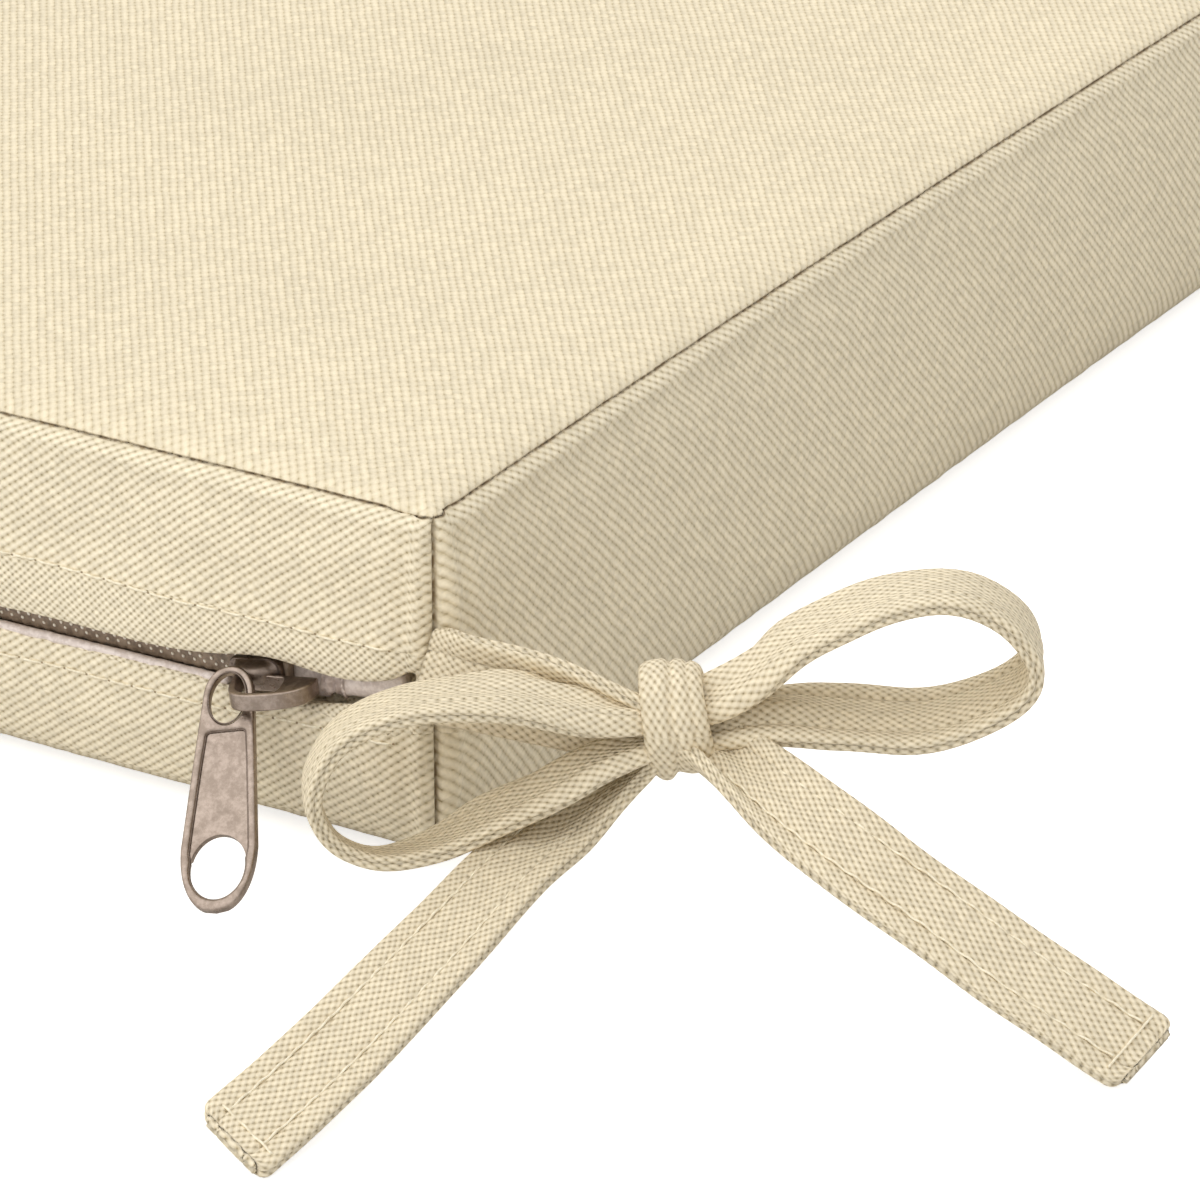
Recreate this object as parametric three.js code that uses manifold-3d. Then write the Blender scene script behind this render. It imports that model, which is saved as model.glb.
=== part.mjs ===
// Garden chair cushion: a boxed seat pad with a zip along its back boxing and a
// fabric tie, knotted into a bow, at each end of that boxing.
// Millimetres, +Z up. The origin is the middle of the flat underside. The zip
// side faces -Y, and the corner with the slider is at +X, -Y.
import * as THREE from 'three';
import { mergeVertices } from 'three/addons/utils/BufferGeometryUtils.js';
import Module from 'manifold-3d';

const wasm = await Module();
wasm.setup();

// Cushion
const SIDE = 440;
const HEIGHT = 42;
const HALF = SIDE / 2;
const DRAW_IN = 3; // how far the middle of a side is pulled in
const CROWN = 4.5; // rise of the top panel's middle over its seam
const SEAM_ROLL = 1.3; // rise of the top panel just beside its seam
const SEAM_ROLL_REACH = 3.5;
const BULGE = 2.4; // how far a boxing stands out between its seams
const CORNER_REACH = 2.6; // distance over which a boxing rises from the corner seam
const CORNER_DIP = 0.6; // depth of the corner seam
const BOTTOM_SEAM = 3.2; // height of the bottom seam

// How the underside rolls under: the last ring is the rim of its flat face
const UNDER = [
  { insetX: 1.6, insetY: 2.5, z: 1.3 },
  { insetX: 4.5, insetY: 7, z: 0 },
];

// Columns along a side: distance from the nearest corner
const COLUMNS = [0, 1.5, 4, 8, 15, 26, 45, 75, 120, 170, 220];

// Zip
const ZIP_MIDDLE = 18; // height of the zip away from the corners
const ZIP_RISE = 1.9; // its slow rise towards each corner, and the reach of that
const ZIP_RISE_REACH = 45;
const ZIP_LIFT = 4; // its last lift into the corner seam
const ZIP_LIFT_REACH = 6;
const SLOT_START = 1.2; // distances from the corner over which the slot opens
const SLOT_OPEN = 4;
const TAPE_END = 4.5;
const TAPE = { back: -2.3, front: -1.4, half: 2.4 };
const ROLL_END = 15; // the tape is rolled up between its end and the slider
const ROLL_FADE = 1.5;
const ROLL = { half: 1.7, shoulder: -0.6, front: 0.2 };
const COIL = { half: 1.6, back: -1.05, front: 0.35 };
const COIL_START = 17;
const SLIDER_AT = 20.2; // distance of the slider from the corner seam
const SLIDER_SPREAD = 7;
const SLIDER_LIP = 1.3;

// Slider: a wedge of a plate, and a flat band bent into a bridge in front of it.
// The bridge's far end is drawn out by the pull, so it is turned more.
const PLATE = {
  length: 7.2, wide: 3.6, narrow: 2.8, round: 1.8, back: 0.9, front: 1.6, shift: 1.4, lift: 0.2,
};
const PLATE_TURN = { yaw: 3, tilt: 4 }; // degrees
const BRIDGE = {
  length: 10.6, reach: 7.6, high: 1.7, thick: 0.8,
  base: 1.5, slope: 0.34, web: 0.5, openTo: -0.8, lift: -0.85,
};
const BRIDGE_TURN = { yaw: 20, tilt: 9 };

// Pull: a long flat plate with a ring at the top and a round hole at its foot
const PULL = {
  length: 28.6, thick: 1.2, ringHalf: 2.9, neckHalf: 3.2, footHalf: 4.1,
  ringAt: 3.8, neckAt: 7.2,
  eyeTop: 0.8, eyeLength: 6.1, eyeHalf: 2.15,
  holeTop: 19.7, holeLength: 7.6, holeHalf: 3.05,
  recessTop: 8, recessEnd: 20.4, recessInset: 0.8, recessDepth: 0.3,
};
const PULL_TOP = { across: -22.45, out: -10.6, up: 20.1 };
const PULL_DOWN = { across: -0.02, out: 0.75, up: -0.66 };
const PULL_SIDE = { across: 0.95, out: 0.2, up: 0.21 };

// Ties: a turned strip, sewn into the corner seam at its middle, whose two
// halves make a bow. The bow is laid out from the foot of the corner seam:
// across (to the right of the bow's front), out (away from the cushion) and up.
const BOW_TURN = 30.4; // degrees from the cushion's X axis to across
const TIE_WIDTH = 11;
const TIE_THICK = 1.6;
const KNOT = { across: 25, out: 10, up: 23.6, ringOut: 4.4, ringUp: 6.1, lean: 0.16, width: 6.5 };
const KNOT_FOLD = { flat: 0.6, edge: 0.3, depth: 0.8 }; // section of the turn around the knot
const CORE = { across: 3, out: 4.2, up: 6 };

// Each row: the middle of the strip, the direction of its width, and cup, the
// angle through which its section is curled.
const ROOT = [
  { across: 0.5, out: -0.1, up: 23.2, sideAcross: 0, sideOut: 0, sideUp: 1, cup: 0 },
  { across: 1.2, out: 2, up: 23.6, sideAcross: 0, sideOut: 0, sideUp: 1, cup: 20 },
  { across: 4.2, out: 3.9, up: 24.1, sideAcross: 0, sideOut: 0.05, sideUp: 1, cup: 25 },
  { across: 10.1, out: 6, up: 24, sideAcross: 0, sideOut: 0.1, sideUp: 1, cup: 35 },
  { across: 17.4, out: 8, up: 24, sideAcross: 0, sideOut: 0.2, sideUp: 1, cup: 90 },
  { across: 23, out: 9.5, up: 23.7, sideAcross: 0, sideOut: 0.3, sideUp: 1, cup: 150 },
];
const LEFT_LOOP = [
  { across: 23.4, out: 11, up: 25.3, sideAcross: 0.05, sideOut: 1, sideUp: 0, cup: -170 },
  { across: 18, out: 11.8, up: 26, sideAcross: 0, sideOut: 1, sideUp: 0, cup: -110 },
  { across: 12.2, out: 12.6, up: 27, sideAcross: 0, sideOut: 1, sideUp: 0, cup: -35 },
  { across: 7, out: 13.3, up: 27.8, sideAcross: 0, sideOut: 1, sideUp: 0, cup: -5 },
  { across: 1.9, out: 14, up: 27.7, sideAcross: 0, sideOut: 1, sideUp: 0.08, cup: 0 },
  { across: -3.4, out: 14, up: 26.7, sideAcross: 0, sideOut: 0.99, sideUp: 0.11, cup: 0 },
  { across: -8.3, out: 14, up: 24.4, sideAcross: 0.02, sideOut: 0.99, sideUp: 0.11, cup: 0 },
  { across: -11.3, out: 14, up: 21.3, sideAcross: 0.07, sideOut: 0.99, sideUp: 0.13, cup: 0 },
  { across: -12.7, out: 14, up: 16.8, sideAcross: 0.1, sideOut: 0.98, sideUp: 0.17, cup: 0 },
  { across: -11.4, out: 14, up: 12.2, sideAcross: 0.08, sideOut: 0.95, sideUp: 0.3, cup: 0 },
  { across: -8.8, out: 14, up: 9.9, sideAcross: 0.07, sideOut: 0.94, sideUp: 0.33, cup: 0 },
  { across: -5, out: 14, up: 9.1, sideAcross: 0.1, sideOut: 0.94, sideUp: 0.3, cup: 0 },
  { across: -0.1, out: 13.7, up: 10.4, sideAcross: 0.16, sideOut: 0.96, sideUp: 0.24, cup: 0 },
  { across: 6.2, out: 13, up: 14.1, sideAcross: 0.25, sideOut: 0.95, sideUp: 0.16, cup: 20 },
  { across: 12.3, out: 12.4, up: 17.9, sideAcross: 0.24, sideOut: 0.95, sideUp: 0.16, cup: 80 },
  { across: 17.6, out: 11.7, up: 20.6, sideAcross: 0.16, sideOut: 0.96, sideUp: 0.2, cup: 110 },
  { across: 23.6, out: 10.7, up: 22.4, sideAcross: 0.05, sideOut: 1, sideUp: 0.1, cup: 170 },
];
const RIGHT_LOOP = [
  { across: 26.2, out: 10.3, up: 25.6, sideAcross: 0, sideOut: 1, sideUp: -0.2, cup: 170 },
  { across: 31.2, out: 10.2, up: 28.2, sideAcross: 0.1, sideOut: 1, sideUp: -0.06, cup: 120 },
  { across: 37.3, out: 10.1, up: 32.4, sideAcross: 0.18, sideOut: 0.98, sideUp: 0.05, cup: 25 },
  { across: 43.5, out: 10, up: 35.7, sideAcross: 0.12, sideOut: 0.99, sideUp: 0.07, cup: 0 },
  { across: 50, out: 10, up: 37.7, sideAcross: 0, sideOut: 1, sideUp: 0.08, cup: 0 },
  { across: 55.8, out: 10, up: 37.5, sideAcross: -0.13, sideOut: 0.99, sideUp: 0.08, cup: 0 },
  { across: 60.6, out: 10, up: 34.8, sideAcross: -0.16, sideOut: 0.98, sideUp: 0.13, cup: 0 },
  { across: 63, out: 10, up: 30.8, sideAcross: -0.05, sideOut: 1, sideUp: 0.1, cup: 0 },
  { across: 61.5, out: 10, up: 27.5, sideAcross: 0.03, sideOut: 1, sideUp: 0, cup: 0 },
  { across: 56.5, out: 10, up: 24.5, sideAcross: -0.05, sideOut: 0.99, sideUp: -0.12, cup: 0 },
  { across: 50, out: 10, up: 23.2, sideAcross: -0.07, sideOut: 0.98, sideUp: -0.18, cup: 0 },
  { across: 42.5, out: 10, up: 23.8, sideAcross: -0.08, sideOut: 0.98, sideUp: -0.18, cup: 0 },
  { across: 35, out: 10, up: 24.5, sideAcross: -0.02, sideOut: 0.99, sideUp: -0.11, cup: -70 },
  { across: 26.4, out: 10, up: 23, sideAcross: 0, sideOut: 1, sideUp: -0.1, cup: -170 },
];
const LEFT_TAIL = [
  { across: 24.2, out: 10.2, up: 20.5, sideAcross: 0.6, sideOut: 0.78, sideUp: -0.2, cup: 180 },
  { across: 20.5, out: 8.5, up: 17, sideAcross: 0.6, sideOut: 0.78, sideUp: -0.2, cup: 150 },
  { across: 17.2, out: 9.6, up: 14.7, sideAcross: 0.6, sideOut: 0.78, sideUp: -0.12, cup: 90 },
  { across: 13.3, out: 12.7, up: 12.1, sideAcross: 0.62, sideOut: 0.78, sideUp: -0.08, cup: 35 },
  { across: 8.2, out: 20.6, up: 11, sideAcross: 0.62, sideOut: 0.78, sideUp: -0.04, cup: 10 },
  { across: 2.4, out: 31.1, up: 9.3, sideAcross: 0.6, sideOut: 0.78, sideUp: -0.15, cup: 5 },
  { across: -4.4, out: 42.7, up: 7, sideAcross: 0.59, sideOut: 0.77, sideUp: -0.25, cup: 0 },
  { across: -11.5, out: 53.7, up: 4.5, sideAcross: 0.62, sideOut: 0.74, sideUp: -0.27, cup: 0 },
  { across: -18.7, out: 63.9, up: 2.3, sideAcross: 0.62, sideOut: 0.75, sideUp: -0.24, cup: 0 },
];
const RIGHT_TAIL = [
  { across: 25.8, out: 10, up: 20.8, sideAcross: 0.58, sideOut: -0.8, sideUp: 0.2, cup: 170 },
  { across: 29.7, out: 13, up: 20.5, sideAcross: 0.58, sideOut: -0.8, sideUp: 0.2, cup: 150 },
  { across: 33, out: 17.6, up: 20, sideAcross: 0.52, sideOut: -0.83, sideUp: 0.22, cup: 95 },
  { across: 37.2, out: 23.2, up: 19.2, sideAcross: 0.5, sideOut: -0.81, sideUp: 0.3, cup: 35 },
  { across: 43, out: 29.5, up: 17.5, sideAcross: 0.49, sideOut: -0.81, sideUp: 0.32, cup: 10 },
  { across: 50.5, out: 35, up: 14.2, sideAcross: 0.5, sideOut: -0.82, sideUp: 0.28, cup: 0 },
  { across: 60, out: 40.5, up: 9, sideAcross: 0.5, sideOut: -0.81, sideUp: 0.29, cup: 0 },
  { across: 66.5, out: 43.3, up: 5.6, sideAcross: 0.52, sideOut: -0.8, sideUp: 0.3, cup: 0 },
  { across: 72.5, out: 45.6, up: 2.4, sideAcross: 0.58, sideOut: -0.77, sideUp: 0.24, cup: 0 },
];

const MATERIALS = {
  cover: new THREE.MeshStandardMaterial({ color: 0xe6dabb, roughness: 0.92, metalness: 0 }),
  tie: new THREE.MeshStandardMaterial({ color: 0xe4d8b8, roughness: 0.92, metalness: 0 }),
  tape: new THREE.MeshStandardMaterial({ color: 0xb9a8a0, roughness: 0.85, metalness: 0 }),
  coil: new THREE.MeshStandardMaterial({ color: 0x7b6b5f, roughness: 0.6, metalness: 0 }),
  metal: new THREE.MeshStandardMaterial({ color: 0xa2958d, roughness: 0.42, metalness: 1 }),
};

const mix = (a, b, t) => a + (b - a) * t;
const smooth = (t) => {
  const c = Math.min(1, Math.max(0, t));
  return c * c * (3 - 2 * c);
};

// How far a side's seam is pulled in, at a distance from its nearest corner
function drawIn(s) {
  const share = s / SIDE;
  return 4 * DRAW_IN * share * (1 - share);
}

function zipHeight(s) {
  const rise = ZIP_RISE * Math.exp(-s / ZIP_RISE_REACH);
  return ZIP_MIDDLE + rise + ZIP_LIFT * Math.exp(-s / ZIP_LIFT_REACH);
}

// Rows down a boxing. z is the height at the corner and on the plain sides;
// on the zip side, rise is the height over the zip where the slot is open
// (or null where z holds), and out is how far the cloth stands out there.
const ROWS = [
  { z: HEIGHT, rise: null, out: 0 },
  { z: 39.8, rise: null, out: 1.2 },
  { z: 35.5, rise: 15.8, out: 2.1 },
  { z: 31.5, rise: 10.5, out: 2.2 },
  { z: 28, rise: 5.5, out: 2.9 },
  { z: 25.6, rise: 2.8, out: 3.0 },
  { z: 24.6, rise: 1.5, out: 2.4 },
  { z: 24, rise: 2.9, out: -0.9, inner: true },
  { z: 23.4, rise: 2.8, out: -2.9, inner: true },
  { z: 22.8, rise: -2.8, out: -2.9, inner: true },
  { z: 22.2, rise: -2.9, out: -0.9, inner: true },
  { z: 21.6, rise: -1.5, out: 1.1 },
  { z: 20, rise: -3, out: 1.9 },
  { z: 14.5, rise: -8, out: 1.8 },
  { z: 8, rise: null, out: 1.4 },
  { z: BOTTOM_SEAM, rise: null, out: 0 },
];

function plainBulge(z) {
  const share = (z - BOTTOM_SEAM) / (HEIGHT - BOTTOM_SEAM);
  return BULGE * (1 - (2 * share - 1) ** 4);
}

// The height and outward place of a boxing row at distance s from its corner
function boxingPoint(row, s, isZipSide) {
  const stand = 1 - Math.exp(-s / CORNER_REACH);
  const open = isZipSide ? smooth((s - SLOT_START) / (SLOT_OPEN - SLOT_START)) : 0;
  let zOpen = row.z;
  if (row.rise !== null) {
    const spread = SLIDER_LIP * Math.exp(-(((s - SLIDER_AT) / SLIDER_SPREAD) ** 2));
    const isLip = Math.abs(row.rise) <= 3 && !row.inner;
    zOpen = zipHeight(s) + row.rise + (isLip ? Math.sign(row.rise) * spread : 0);
  }
  const seamed = isZipSide && !row.inner ? row.out : plainBulge(row.z);
  return {
    z: mix(row.z, zOpen, open),
    out: mix(seamed * stand, isZipSide ? row.out : seamed, open * (row.inner ? 1 : 0)) - drawIn(s),
  };
}

// The four sides in order around the cushion, seen from above, anticlockwise
const SIDES = [
  { start: [-HALF, -HALF], along: [1, 0], outward: [0, -1], zip: true },
  { start: [HALF, -HALF], along: [0, 1], outward: [1, 0], zip: false },
  { start: [HALF, HALF], along: [-1, 0], outward: [0, 1], zip: false },
  { start: [-HALF, HALF], along: [0, -1], outward: [-1, 0], zip: false },
];

// Distances from a side's first corner, both halves
const STATIONS = [...COLUMNS, ...COLUMNS.slice(0, -1).reverse().map((s) => SIDE - s)];

function sidePosition(side, station, out, z) {
  return [
    side.start[0] + side.along[0] * station + side.outward[0] * out,
    side.start[1] + side.along[1] * station + side.outward[1] * out,
    z,
  ];
}

function geometryFrom(positions, triangles) {
  const geometry = new THREE.BufferGeometry();
  geometry.setAttribute('position', new THREE.Float32BufferAttribute(positions.flat(), 3));
  geometry.setIndex(triangles.flat());
  return geometry;
}

// Top panel height over its seam
function crownHeight(x, y) {
  const edge = Math.min(HALF - Math.abs(x), HALF - Math.abs(y));
  const roll = SEAM_ROLL * (1 - Math.exp(-edge / SEAM_ROLL_REACH));
  const dome = (1 - (x / HALF) ** 2) * (1 - (y / HALF) ** 2);
  return roll + CROWN * dome;
}

function cushionGeometry() {
  const positions = [];
  const triangles = [];
  const add = (p) => positions.push(p) - 1;
  const count = STATIONS.length - 1;

  // Boxing: one column of rows for each station around the cushion
  const ring = [];
  for (const side of SIDES) {
    for (let i = 0; i < count; i += 1) {
      const station = STATIONS[i];
      const s = Math.min(station, SIDE - station);
      const column = ROWS.map((row) => {
        const { z, out } = boxingPoint(row, s, side.zip);
        if (i > 0) return add(sidePosition(side, station, out, z));
        const dip = row.z < HEIGHT ? CORNER_DIP : 0;
        const corner = sidePosition(side, dip, -dip, z);
        return add(corner);
      });
      ring.push(column);
    }
  }
  const total = ring.length;
  for (let i = 0; i < total; i += 1) {
    const a = ring[i];
    const b = ring[(i + 1) % total];
    for (let r = 0; r < ROWS.length - 1; r += 1) {
      triangles.push([a[r], a[r + 1], b[r + 1]], [a[r], b[r + 1], b[r]]);
    }
  }

  // Top panel: a grid that ends on the boxing's top row
  const grid = [];
  for (let j = 0; j <= count; j += 1) {
    grid.push([]);
    for (let i = 0; i <= count; i += 1) {
      const x = STATIONS[i] - HALF;
      const y = STATIONS[j] - HALF;
      const px = x - (x / HALF) * drawIn(Math.min(STATIONS[j], SIDE - STATIONS[j]));
      const py = y - (y / HALF) * drawIn(Math.min(STATIONS[i], SIDE - STATIONS[i]));
      let index;
      if (j === 0) index = ring[i][0];
      else if (i === count) index = ring[count + j][0];
      else if (j === count) index = ring[3 * count - i][0];
      else if (i === 0) index = ring[4 * count - j][0];
      else index = add([px, py, HEIGHT + crownHeight(x, y)]);
      grid[j].push(index);
    }
  }
  for (let j = 0; j < count; j += 1) {
    for (let i = 0; i < count; i += 1) {
      const [a, b] = [grid[j][i], grid[j][i + 1]];
      const [d, c] = [grid[j + 1][i], grid[j + 1][i + 1]];
      triangles.push([a, b, c], [a, c, d]);
    }
  }

  // Underside: two rings that roll under, then one flat face on the ground
  const under = UNDER.map(({ insetX, insetY, z }) => ring.map((column) => {
    const [x, y] = positions[column[ROWS.length - 1]];
    return add([x - (x / HALF) * insetX, y - (y / HALF) * insetY, z]);
  }));
  const rims = [ring.map((column) => column[ROWS.length - 1]), ...under];
  for (let k = 0; k < rims.length - 1; k += 1) {
    for (let i = 0; i < total; i += 1) {
      const n = (i + 1) % total;
      triangles.push([rims[k][i], rims[k + 1][i], rims[k + 1][n]], [rims[k][i], rims[k + 1][n], rims[k][n]]);
    }
  }
  const middle = add([0, 0, 0]);
  const last = rims[rims.length - 1];
  for (let i = 0; i < total; i += 1) {
    triangles.push([last[i], middle, last[(i + 1) % total]]);
  }
  return geometryFrom(positions, triangles);
}

// Joins closed rings of points, in order, into one closed body
function loft(rings, closed = false) {
  const size = rings[0].length;
  const positions = rings.flat();
  const triangles = [];
  const steps = closed ? rings.length : rings.length - 1;
  for (let k = 0; k < steps; k += 1) {
    const from = k * size;
    const to = ((k + 1) % rings.length) * size;
    for (let i = 0; i < size; i += 1) {
      const n = (i + 1) % size;
      triangles.push([from + i, from + n, to + n], [from + i, to + n, to + i]);
    }
  }
  if (!closed) {
    const end = (rings.length - 1) * size;
    for (const cap of capTriangles(size)) {
      triangles.push([cap[0], cap[2], cap[1]]);
      triangles.push([end + cap[0], end + cap[1], end + cap[2]]);
    }
  }
  return geometryFrom(positions, triangles);
}

// A ring of 2n points, n along each long face, closed by quads between the faces
function capTriangles(size) {
  const caps = [];
  const half = size / 2;
  for (let i = 0; i < half - 1; i += 1) {
    const [a, b] = [i, i + 1];
    const [c, d] = [size - 2 - i, size - 1 - i];
    caps.push([a, b, c], [a, c, d]);
  }
  return caps;
}

// A strip that follows the zip: section points are [out, rise]
function zipStrip(sectionAt, from, to, breaks = []) {
  const ends = [from, to, ...breaks, ...breaks.map((s) => SIDE - s)];
  const stations = [...STATIONS.filter((s) => s > from && s < to && !ends.includes(s)), ...ends];
  stations.sort((a, b) => a - b);
  const side = SIDES[0];
  return loft(stations.map((station) => {
    const s = Math.min(station, SIDE - station);
    return sectionAt(station).map(([out, rise]) => (
      sidePosition(side, station, out - drawIn(s), zipHeight(s) + rise)));
  }));
}

// The tape lies flat behind the coil, and is rolled up beyond the slider
function tapeSection(station) {
  const s = SIDE - station;
  const roll = 1 - smooth((s - ROLL_END) / ROLL_FADE);
  const front = mix(TAPE.front, ROLL.front, roll);
  const shoulder = mix(TAPE.front, ROLL.shoulder, roll);
  const half = mix(TAPE.half, ROLL.half, roll);
  return [
    [TAPE.back, -half], [TAPE.back, 0], [TAPE.back, half],
    [shoulder, half], [front, 0], [shoulder, -half],
  ];
}

function tapeGeometry() {
  return zipStrip(tapeSection, TAPE_END, SIDE - TAPE_END, [ROLL_END, ROLL_END + ROLL_FADE]);
}

function coilSection() {
  const { half, back, front } = COIL;
  const shoulder = mix(back, front, 0.75);
  return [
    [back, -half], [back, -half * 0.5], [back, half * 0.5], [back, half],
    [shoulder, half * 0.8], [front, half * 0.35], [front, -half * 0.35], [shoulder, -half * 0.8],
  ];
}

function coilGeometry() {
  return zipStrip(coilSection, COIL_START, SIDE - COIL_START);
}

function toManifold(geometry) {
  geometry.deleteAttribute('normal');
  geometry.deleteAttribute('uv');
  const merged = mergeVertices(geometry, 1e-4);
  return new wasm.Manifold(new wasm.Mesh({
    numProp: 3,
    vertProperties: new Float32Array(merged.attributes.position.array),
    triVerts: new Uint32Array(merged.index.array),
  }));
}

function fromManifold(solid) {
  const { vertProperties, triVerts } = solid.getMesh();
  const geometry = new THREE.BufferGeometry();
  geometry.setAttribute('position', new THREE.BufferAttribute(new Float32Array(vertProperties), 3));
  geometry.setIndex(Array.from(triVerts));
  return geometry;
}

// Where the joined bodies close a hollow between them, it is filled
function joined(geometries) {
  const solid = geometries.map(toManifold).reduce((all, one) => all.add(one));
  const outerSkins = solid.decompose().filter((skin) => skin.volume() > 0);
  return fromManifold(outerSkins.reduce((all, one) => all.add(one)));
}

// The slider's front plate, in the slider's own axes: x along the zip away from
// the corner, y out of the cushion, z up. Its round end faces the corner.
function plateGeometry() {
  const { length, wide, narrow, round, back, front, shift, lift } = PLATE;
  const shape = new THREE.Shape();
  shape.moveTo(length / 2, narrow / 2);
  shape.lineTo(-length / 2 + round, wide / 2);
  shape.quadraticCurveTo(-length / 2, wide / 2, -length / 2, 0);
  shape.quadraticCurveTo(-length / 2, -wide / 2, -length / 2 + round, -wide / 2);
  shape.lineTo(length / 2, -narrow / 2);
  const depth = front - back;
  const geometry = new THREE.ExtrudeGeometry(shape, { depth, bevelEnabled: false, curveSegments: 5 });
  geometry.rotateX(Math.PI / 2);
  geometry.translate(shift, front, lift);
  return turned(geometry, PLATE_TURN);
}

// The bridge seen from above: a band that leaves the plate at its far end, runs
// along in front of it and comes back broad at the corner's end
function bridgeGeometry() {
  const { length, reach, high, thick, web, openTo, lift } = BRIDGE;
  const end = length / 2;
  const base = (x) => BRIDGE.base - BRIDGE.slope * x;
  const shape = new THREE.Shape();
  shape.moveTo(end, base(end));
  shape.bezierCurveTo(end, reach * 0.9, end * 0.8, reach, 0, reach);
  shape.bezierCurveTo(-end * 0.6, reach, -end, reach * 0.85, -end, base(-end));
  const inner = reach - thick;
  const far = end - thick;
  const eye = new THREE.Path();
  eye.moveTo(far, base(far) + web);
  eye.lineTo(openTo, base(openTo) + web);
  eye.bezierCurveTo(openTo - 0.6, base(openTo) + web, openTo - 0.6, inner, openTo, inner);
  eye.bezierCurveTo(far * 0.8, inner, far, inner * 0.9, far, base(far) + web);
  shape.holes.push(eye);
  const geometry = new THREE.ExtrudeGeometry(shape, { depth: high, bevelEnabled: false, curveSegments: 6 });
  geometry.translate(0, 0, lift - high / 2);
  return turned(geometry, BRIDGE_TURN);
}

function turned(geometry, { yaw, tilt }) {
  geometry.rotateZ(THREE.MathUtils.degToRad(yaw));
  geometry.rotateY(THREE.MathUtils.degToRad(tilt));
  return geometry;
}

function sliderGeometry() {
  const geometry = joined([plateGeometry(), bridgeGeometry()]);
  const axes = new THREE.Matrix4().makeBasis(
    new THREE.Vector3(-1, 0, 0), new THREE.Vector3(0, -1, 0), new THREE.Vector3(0, 0, 1));
  geometry.applyMatrix4(axes);
  geometry.translate(HALF - SLIDER_AT, -HALF + drawIn(SLIDER_AT), zipHeight(SLIDER_AT));
  return geometry;
}

// Bow axes in the cushion's frame
const turn = THREE.MathUtils.degToRad(BOW_TURN);
const ACROSS = new THREE.Vector3(Math.cos(turn), Math.sin(turn), 0);
const OUT = new THREE.Vector3(Math.sin(turn), -Math.cos(turn), 0);
const UP = new THREE.Vector3(0, 0, 1);
const FOOT = new THREE.Vector3(HALF, -HALF, 0);

function bowVector(across, out, up) {
  return new THREE.Vector3()
    .addScaledVector(ACROSS, across)
    .addScaledVector(OUT, out)
    .addScaledVector(UP, up);
}

function bowPoint(across, out, up) {
  return bowVector(across, out, up).add(FOOT);
}

function pullOutline() {
  const { length, ringHalf, neckHalf, footHalf, ringAt, neckAt } = PULL;
  const footTop = length - footHalf * 1.25;
  const shape = new THREE.Shape();
  shape.moveTo(0, 0);
  shape.bezierCurveTo(ringHalf * 0.6, 0, ringHalf, ringAt * 0.4, ringHalf, ringAt);
  shape.lineTo(neckHalf, neckAt);
  shape.lineTo(footHalf, footTop - 2);
  shape.bezierCurveTo(footHalf, footTop + 2.4, footHalf * 0.62, length - 0.7, footHalf * 0.3, length - 0.2);
  shape.lineTo(0, length);
  shape.lineTo(-footHalf * 0.3, length - 0.2);
  shape.bezierCurveTo(-footHalf * 0.62, length - 0.7, -footHalf, footTop + 2.4, -footHalf, footTop - 2);
  shape.lineTo(-neckHalf, neckAt);
  shape.lineTo(-ringHalf, ringAt);
  shape.bezierCurveTo(-ringHalf, ringAt * 0.4, -ringHalf * 0.6, 0, 0, 0);
  return shape;
}

function oval(top, long, half) {
  const path = new THREE.Path();
  path.absellipse(0, top + long / 2, half, long / 2, 0, Math.PI * 2, true);
  return path;
}

function recessShape() {
  const { recessTop, recessEnd, recessInset, neckHalf, footHalf } = PULL;
  const top = neckHalf - recessInset;
  const end = footHalf - recessInset - 0.3;
  const shape = new THREE.Shape();
  shape.moveTo(-top, recessTop);
  shape.lineTo(top, recessTop);
  shape.lineTo(end, recessEnd);
  shape.lineTo(-end, recessEnd);
  return shape;
}

function pullGeometry() {
  const outline = pullOutline();
  outline.holes.push(oval(PULL.eyeTop, PULL.eyeLength, PULL.eyeHalf));
  outline.holes.push(oval(PULL.holeTop, PULL.holeLength, PULL.holeHalf));
  const depth = PULL.thick;
  const plate = new THREE.ExtrudeGeometry(outline, { depth, bevelEnabled: false, curveSegments: 7 });
  const recess = new THREE.ExtrudeGeometry(recessShape(), { depth, bevelEnabled: false });
  recess.translate(0, 0, PULL.thick - PULL.recessDepth);
  const geometry = fromManifold(toManifold(plate).subtract(toManifold(recess)));
  geometry.translate(0, 0, -PULL.thick / 2);
  const down = bowVector(PULL_DOWN.across, PULL_DOWN.out, PULL_DOWN.up).normalize();
  const side = bowVector(PULL_SIDE.across, PULL_SIDE.out, PULL_SIDE.up);
  side.addScaledVector(down, -side.dot(down)).normalize();
  const face = new THREE.Vector3().crossVectors(side, down);
  geometry.applyMatrix4(new THREE.Matrix4().makeBasis(side, down, face));
  const top = bowPoint(PULL_TOP.across, PULL_TOP.out, PULL_TOP.up);
  geometry.translate(top.x, top.y, top.z);
  return geometry;
}

// The section of a strip, curled through cup: [across its width, along its normal]
function stripSection(width, thick, cup, cells) {
  const curl = THREE.MathUtils.degToRad(cup);
  const near = [];
  const far = [];
  for (let k = 0; k <= cells; k += 1) {
    const share = (2 * k) / cells - 1;
    const angle = (share * curl) / 2;
    const flat = Math.abs(curl) < 0.01;
    const x = flat ? (share * width) / 2 : (width / curl) * Math.sin(angle);
    const y = flat ? 0 : (width / curl) * (1 - Math.cos(angle));
    const normal = [-Math.sin(angle), Math.cos(angle)];
    near.push([x + (normal[0] * thick) / 2, y + (normal[1] * thick) / 2]);
    far.push([x - (normal[0] * thick) / 2, y - (normal[1] * thick) / 2]);
  }
  return [...far, ...near.reverse()];
}

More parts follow.
